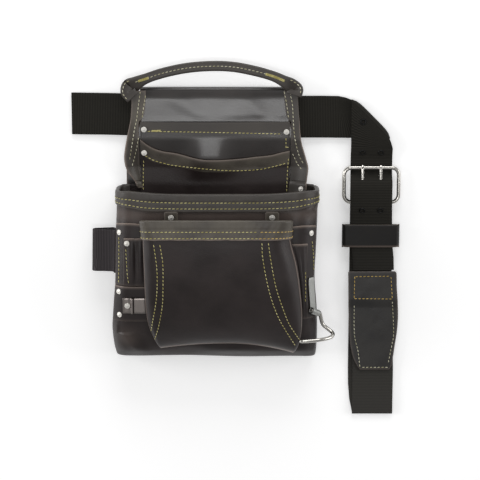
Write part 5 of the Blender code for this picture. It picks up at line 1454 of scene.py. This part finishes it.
def sew(name, seams, look=yellow_thread, pitch=PITCH, length=STITCH):
    """Stitches along seams, joined into one piece."""
    mesh = bmesh.new()
    count = 0
    for seam in seams:
        travelled, target = 0.0, pitch / 2
        for (p, pn), (q, qn) in zip(seam, seam[1:]):
            step = (q - p).length
            if step > LEAP:
                continue
            while travelled + step >= target:
                share = (target - travelled) / step
                normal = pn.lerp(qn, share).normalized()
                tangent = (q - p).normalized()
                tangent = (tangent - normal * tangent.dot(normal)).normalized()
                side = normal.cross(tangent)
                tangent = (tangent + side * SLANT).normalized()
                side = normal.cross(tangent)
                frame_turn = Matrix((tangent, side, normal)).transposed().to_4x4()
                spot = Matrix.Translation(p.lerp(q, share) + normal * THREAD * LYING)
                size = Matrix.Diagonal((length / 2, THREAD / 2, THREAD / 2, 1.0))
                bmesh.ops.create_icosphere(mesh, subdivisions=2, radius=1.0, matrix=spot @ frame_turn @ size)
                count += 1
                target += pitch
            travelled += step
    print(name, count, "stitches")
    return put(name, mesh, [look])


def sew_seen(name, rows, look=yellow_thread, **sizes):
    """Stitches along lines of the photograph's pixels. A row is a piece and the line on it."""
    return sew(name, [photo_seam(on, pixels) for on, pixels in rows], look, **sizes)


# %% Handle stitches
MIDDLE_ENDS = (0.21, 0.80)              # where seams begin and end, as shares of the handle's line
LOOP_ENDS = ((0.02, 0.19), (0.82, 0.98))
TACK_ENDS = ((0.237, 0.300), (0.68, 0.78))
LOOP_ASIDE, LOOP_RISE, TACK_SUNK = 0.32, 0.42, 0.3


def handle_seam(first, final, steps, aside, rise):
    """Places over the handle, so far aside of its middle line and so high above it."""
    frames = [handle_frame(share) for share in spaced(first, final, steps)]
    return [(point + side * aside + up * rise, up) for point, side, up in frames]


seams = [handle_seam(*MIDDLE_ENDS, 160, 0.0, HANDLE_THICK / 2 - GROOVE)]
seams += [handle_seam(*ends, 40, HANDLE_WIDTH * LOOP_ASIDE, HANDLE_THICK * LOOP_RISE) for ends in LOOP_ENDS]
# The handle's paler thread is painted sheen.
sew("handle_stitches", seams, pale_thread)
sew("handle_tacks", [handle_seam(*ends, 20, aside, HANDLE_THICK / 2 - TACK_SUNK)
                     for ends in TACK_ENDS for aside in (-1.0, 0.0, 1.0)], **TACK)

# %% Binding stitches
RUBBED_FROM = 52.0
MAIN_SEAMS, FRONT_SEAMS = (9.4, 17.4), (11.5, 19.2)


def binding_seam(edge, trim, down):
    section_at, mouth, steps, sag, lean = edge
    seam = []
    for x, z, nx, nz in section_at(down).outline(steps)[trim:-trim]:
        normal = Vector((nx, 0.0, nz))
        y = mouth - down - sag(x, down) - lean(section_at(down).top - z, down)
        seam.append((Vector((x, y, z)) + normal * (GAP + BINDING), normal))
    return seam


rim_seams = [binding_seam(MAIN_EDGE, 9, down) for down in MAIN_SEAMS]
rubbed_seams = []
for down in FRONT_SEAMS:
    seam = binding_seam(FRONT_EDGE, 15, down)
    rim_seams.append([spot for spot in seam if spot[0].x < RUBBED_FROM])
    rubbed_seams.append([spot for spot in seam if spot[0].x >= RUBBED_FROM])
sew("binding_stitches", rim_seams)
sew("rubbed_binding_stitches", rubbed_seams, orange_thread)

# %% Front pouch stitches
FRONT_POUCH_PIXELS = [
    ((153.5, 244.3), (156.6, 266.7), (157.2, 283.9), (156.0, 302.2), (152.6, 321.8), (150.9, 333.2)),
    ((159.7, 244.3), (162.7, 263.2), (163.0, 283.9), (162.4, 304.5), (158.9, 325.2), (154.9, 339.0)),
    ((261.9, 242.5), (262.8, 258.6), (267.4, 283.9), (273.2, 304.5), (281.2, 322.9), (295.5, 345.9)),
    ((268.3, 242.5), (270.9, 260.9), (276.0, 287.3), (282.3, 306.8), (289.2, 324.1), (299.6, 340.1)),
]
sew_seen("front_pouch_stitches", [("front_pouch_leather", line) for line in FRONT_POUCH_PIXELS])

# %% Upper pocket and wing stitches
REAR, FRONT_POCKET = "rear_pocket_leather", "front_pocket_leather"
LEFT, RIGHT = "left_wing_leather", "right_wing_leather"
POCKET_PIXELS = [
    (REAR, ((147.0, 131.3), (215.0, 132.5), (282.0, 134.0))),
    (FRONT_POCKET, ((144.6, 155.4), (153.5, 160.2), (163.0, 163.0), (177.0, 165.9),
                    (225.0, 170.5), (257.0, 169.7), (278.0, 165.5), (287.0, 162.8))),
    (FRONT_POCKET, ((143.6, 160.0), (143.3, 176.8), (143.3, 190.0))),
    (FRONT_POCKET, ((288.6, 158.0), (287.6, 169.6), (286.6, 192.0))),
    (REAR, ((286.0, 137.5), (286.0, 146.8))),
    (REAR, ((285.4, 147.0), (289.0, 147.4))),
]
TACK_PIXELS = [(REAR, ((151.5, y), (161.0, y - 0.4))) for y in (130.6, 131.4)]
WING_PIXELS = [
    (LEFT, ((140.3, 91.0), (138.4, 106.0), (136.5, 120.0), (134.5, 129.4), (131.4, 147.8), (129.2, 161.0))),
    (LEFT, ((140.3, 126.0), (137.4, 144.5), (134.2, 158.3), (131.6, 167.2))),
    (LEFT, ((146.4, 90.0), (144.5, 101.8), (142.8, 112.0), (142.2, 119.0))),
    (LEFT, ((128.7, 173.4), (134.0, 179.2))),
    (LEFT, ((129.4, 178.7), (132.2, 182.0))),
    (RIGHT, ((289.5, 90.4), (292.4, 104.9), (293.5, 124.0), (295.0, 138.5), (299.0, 154.8), (304.3, 165.3))),
    (RIGHT, ((292.4, 153.3), (297.6, 163.8), (302.9, 171.0))),
    (RIGHT, ((284.2, 91.0), (286.2, 101.8), (287.8, 112.0), (288.6, 119.0))),
]
sew_seen("upper_pocket_stitches", POCKET_PIXELS)
sew_seen("pocket_tack", TACK_PIXELS, **TACK)
# The wings' paler thread is painted sheen.
sew_seen("wing_stitches", WING_PIXELS, pale_thread)

# %% Side pocket and belt patch stitches
SIDE_PIXELS = [
    ("left_side_pocket", ((119.0, 236.6), (119.0, 262.0), (118.6, 286.0))),
    ("left_slot_pocket", ((125.8, 248.7), (127.4, 274.0), (128.7, 283.0))),
    ("right_side_pocket", ((312.0, 240.7), (313.4, 256.0), (313.7, 272.0))),
    ("right_slim_pocket", ((305.4, 271.5), (305.4, 298.6), (304.1, 302.4))),
]
BOX_PIXELS = (
    ((354.7, 276.7), (390.9, 276.2)), ((390.9, 276.2), (392.3, 299.0)), ((392.3, 299.0), (354.1, 298.6)),
    ((354.1, 298.6), (354.7, 276.7)),
)
PATCH_PIXELS = (
    ((354.2, 305.0), (354.0, 324.5), (354.8, 338.0), (357.9, 351.0), (359.7, 365.8)),
    ((361.5, 367.3), (387.0, 367.3)), ((392.3, 301.0), (393.6, 332.0), (391.8, 345.0), (388.2, 363.0)),
)
sew_seen("side_pocket_stitches", SIDE_PIXELS)
sew_seen("patch_box_stitches", [("belt_patch_leather", line) for line in BOX_PIXELS], orange_thread)
sew_seen("patch_stitches", [("belt_patch_leather", line) for line in PATCH_PIXELS], pale_thread)

# %% [markdown]
# ## Floor and light
# The photograph was taken on a white sweep under broad, soft light. Dark waxed leather mirrors
# whatever hangs over it, so the three big lamps stand low round it, where they whiten the floor
# but don't grey the flat faces. A small softbox hangs where the upper panel mirrors it to the camera.

# %% Floor and light
WHITE = (1.0, 1.0, 1.0, 1.0)
FLOOR_HALF, FLOOR_DROP, FLOOR_GLOW, WORLD_LIGHT = 4.0, 0.0003, 0.32, 0.35
floor_mesh = bmesh.new()
bmesh.ops.create_grid(floor_mesh, x_segments=1, y_segments=1, size=FLOOR_HALF)
floor_data = bpy.data.meshes.new("floor")
floor_mesh.to_mesh(floor_data)
floor_mesh.free()
floor = bpy.data.objects.new("floor", floor_data)
floor.location = (0.0, 0.0, -FLOOR_DROP)
bpy.context.scene.collection.objects.link(floor)
# White paper, which glows a little so that the sweep is as white as the photograph's.
floor_data.materials.append(new_material("white_paper", {
    "Base Color": linear("#f4f4f4"), "Roughness": 0.9, "Specular IOR Level": 0.1, "Emission Color": WHITE,
    "Emission Strength": FLOOR_GLOW})[0])

world = bpy.data.worlds.new("studio")
world.use_nodes = True
background = world.node_tree.nodes["Background"]
background.inputs["Color"].default_value = WHITE
background.inputs["Strength"].default_value = WORLD_LIGHT
bpy.context.scene.world = world


def lamp(name, place, aim, size, power):
    data = bpy.data.lights.new(name, "AREA")
    data.shape = "RECTANGLE"
    data.size, data.size_y = size
    data.energy = power
    made = bpy.data.objects.new(name, data)
    made.location = Vector(place)
    made.rotation_euler = (Vector(aim) - Vector(place)).to_track_quat("-Z", "Y").to_euler()
    bpy.context.scene.collection.objects.link(made)


MIDDLE = (0.03, -0.16, 0.0)
LAMPS = (               # name, place, aim, size in metres, watts
    ("left lamp", (-2.2, 0.2, 0.9), MIDDLE, (1.4, 1.0), 24.0),
    ("right lamp", (2.2, 0.2, 0.9), MIDDLE, (1.4, 1.0), 15.0),
    ("top lamp", (0.3, 2.2, 1.2), MIDDLE, (1.8, 0.9), 26.0),
    ("panel softbox", (-0.02, -0.19, 1.5), (0.0, 0.0, 0.0), (0.5, 0.18), 2.1),
)
for row in LAMPS:
    lamp(*row)
print("lamps:", len(LAMPS))
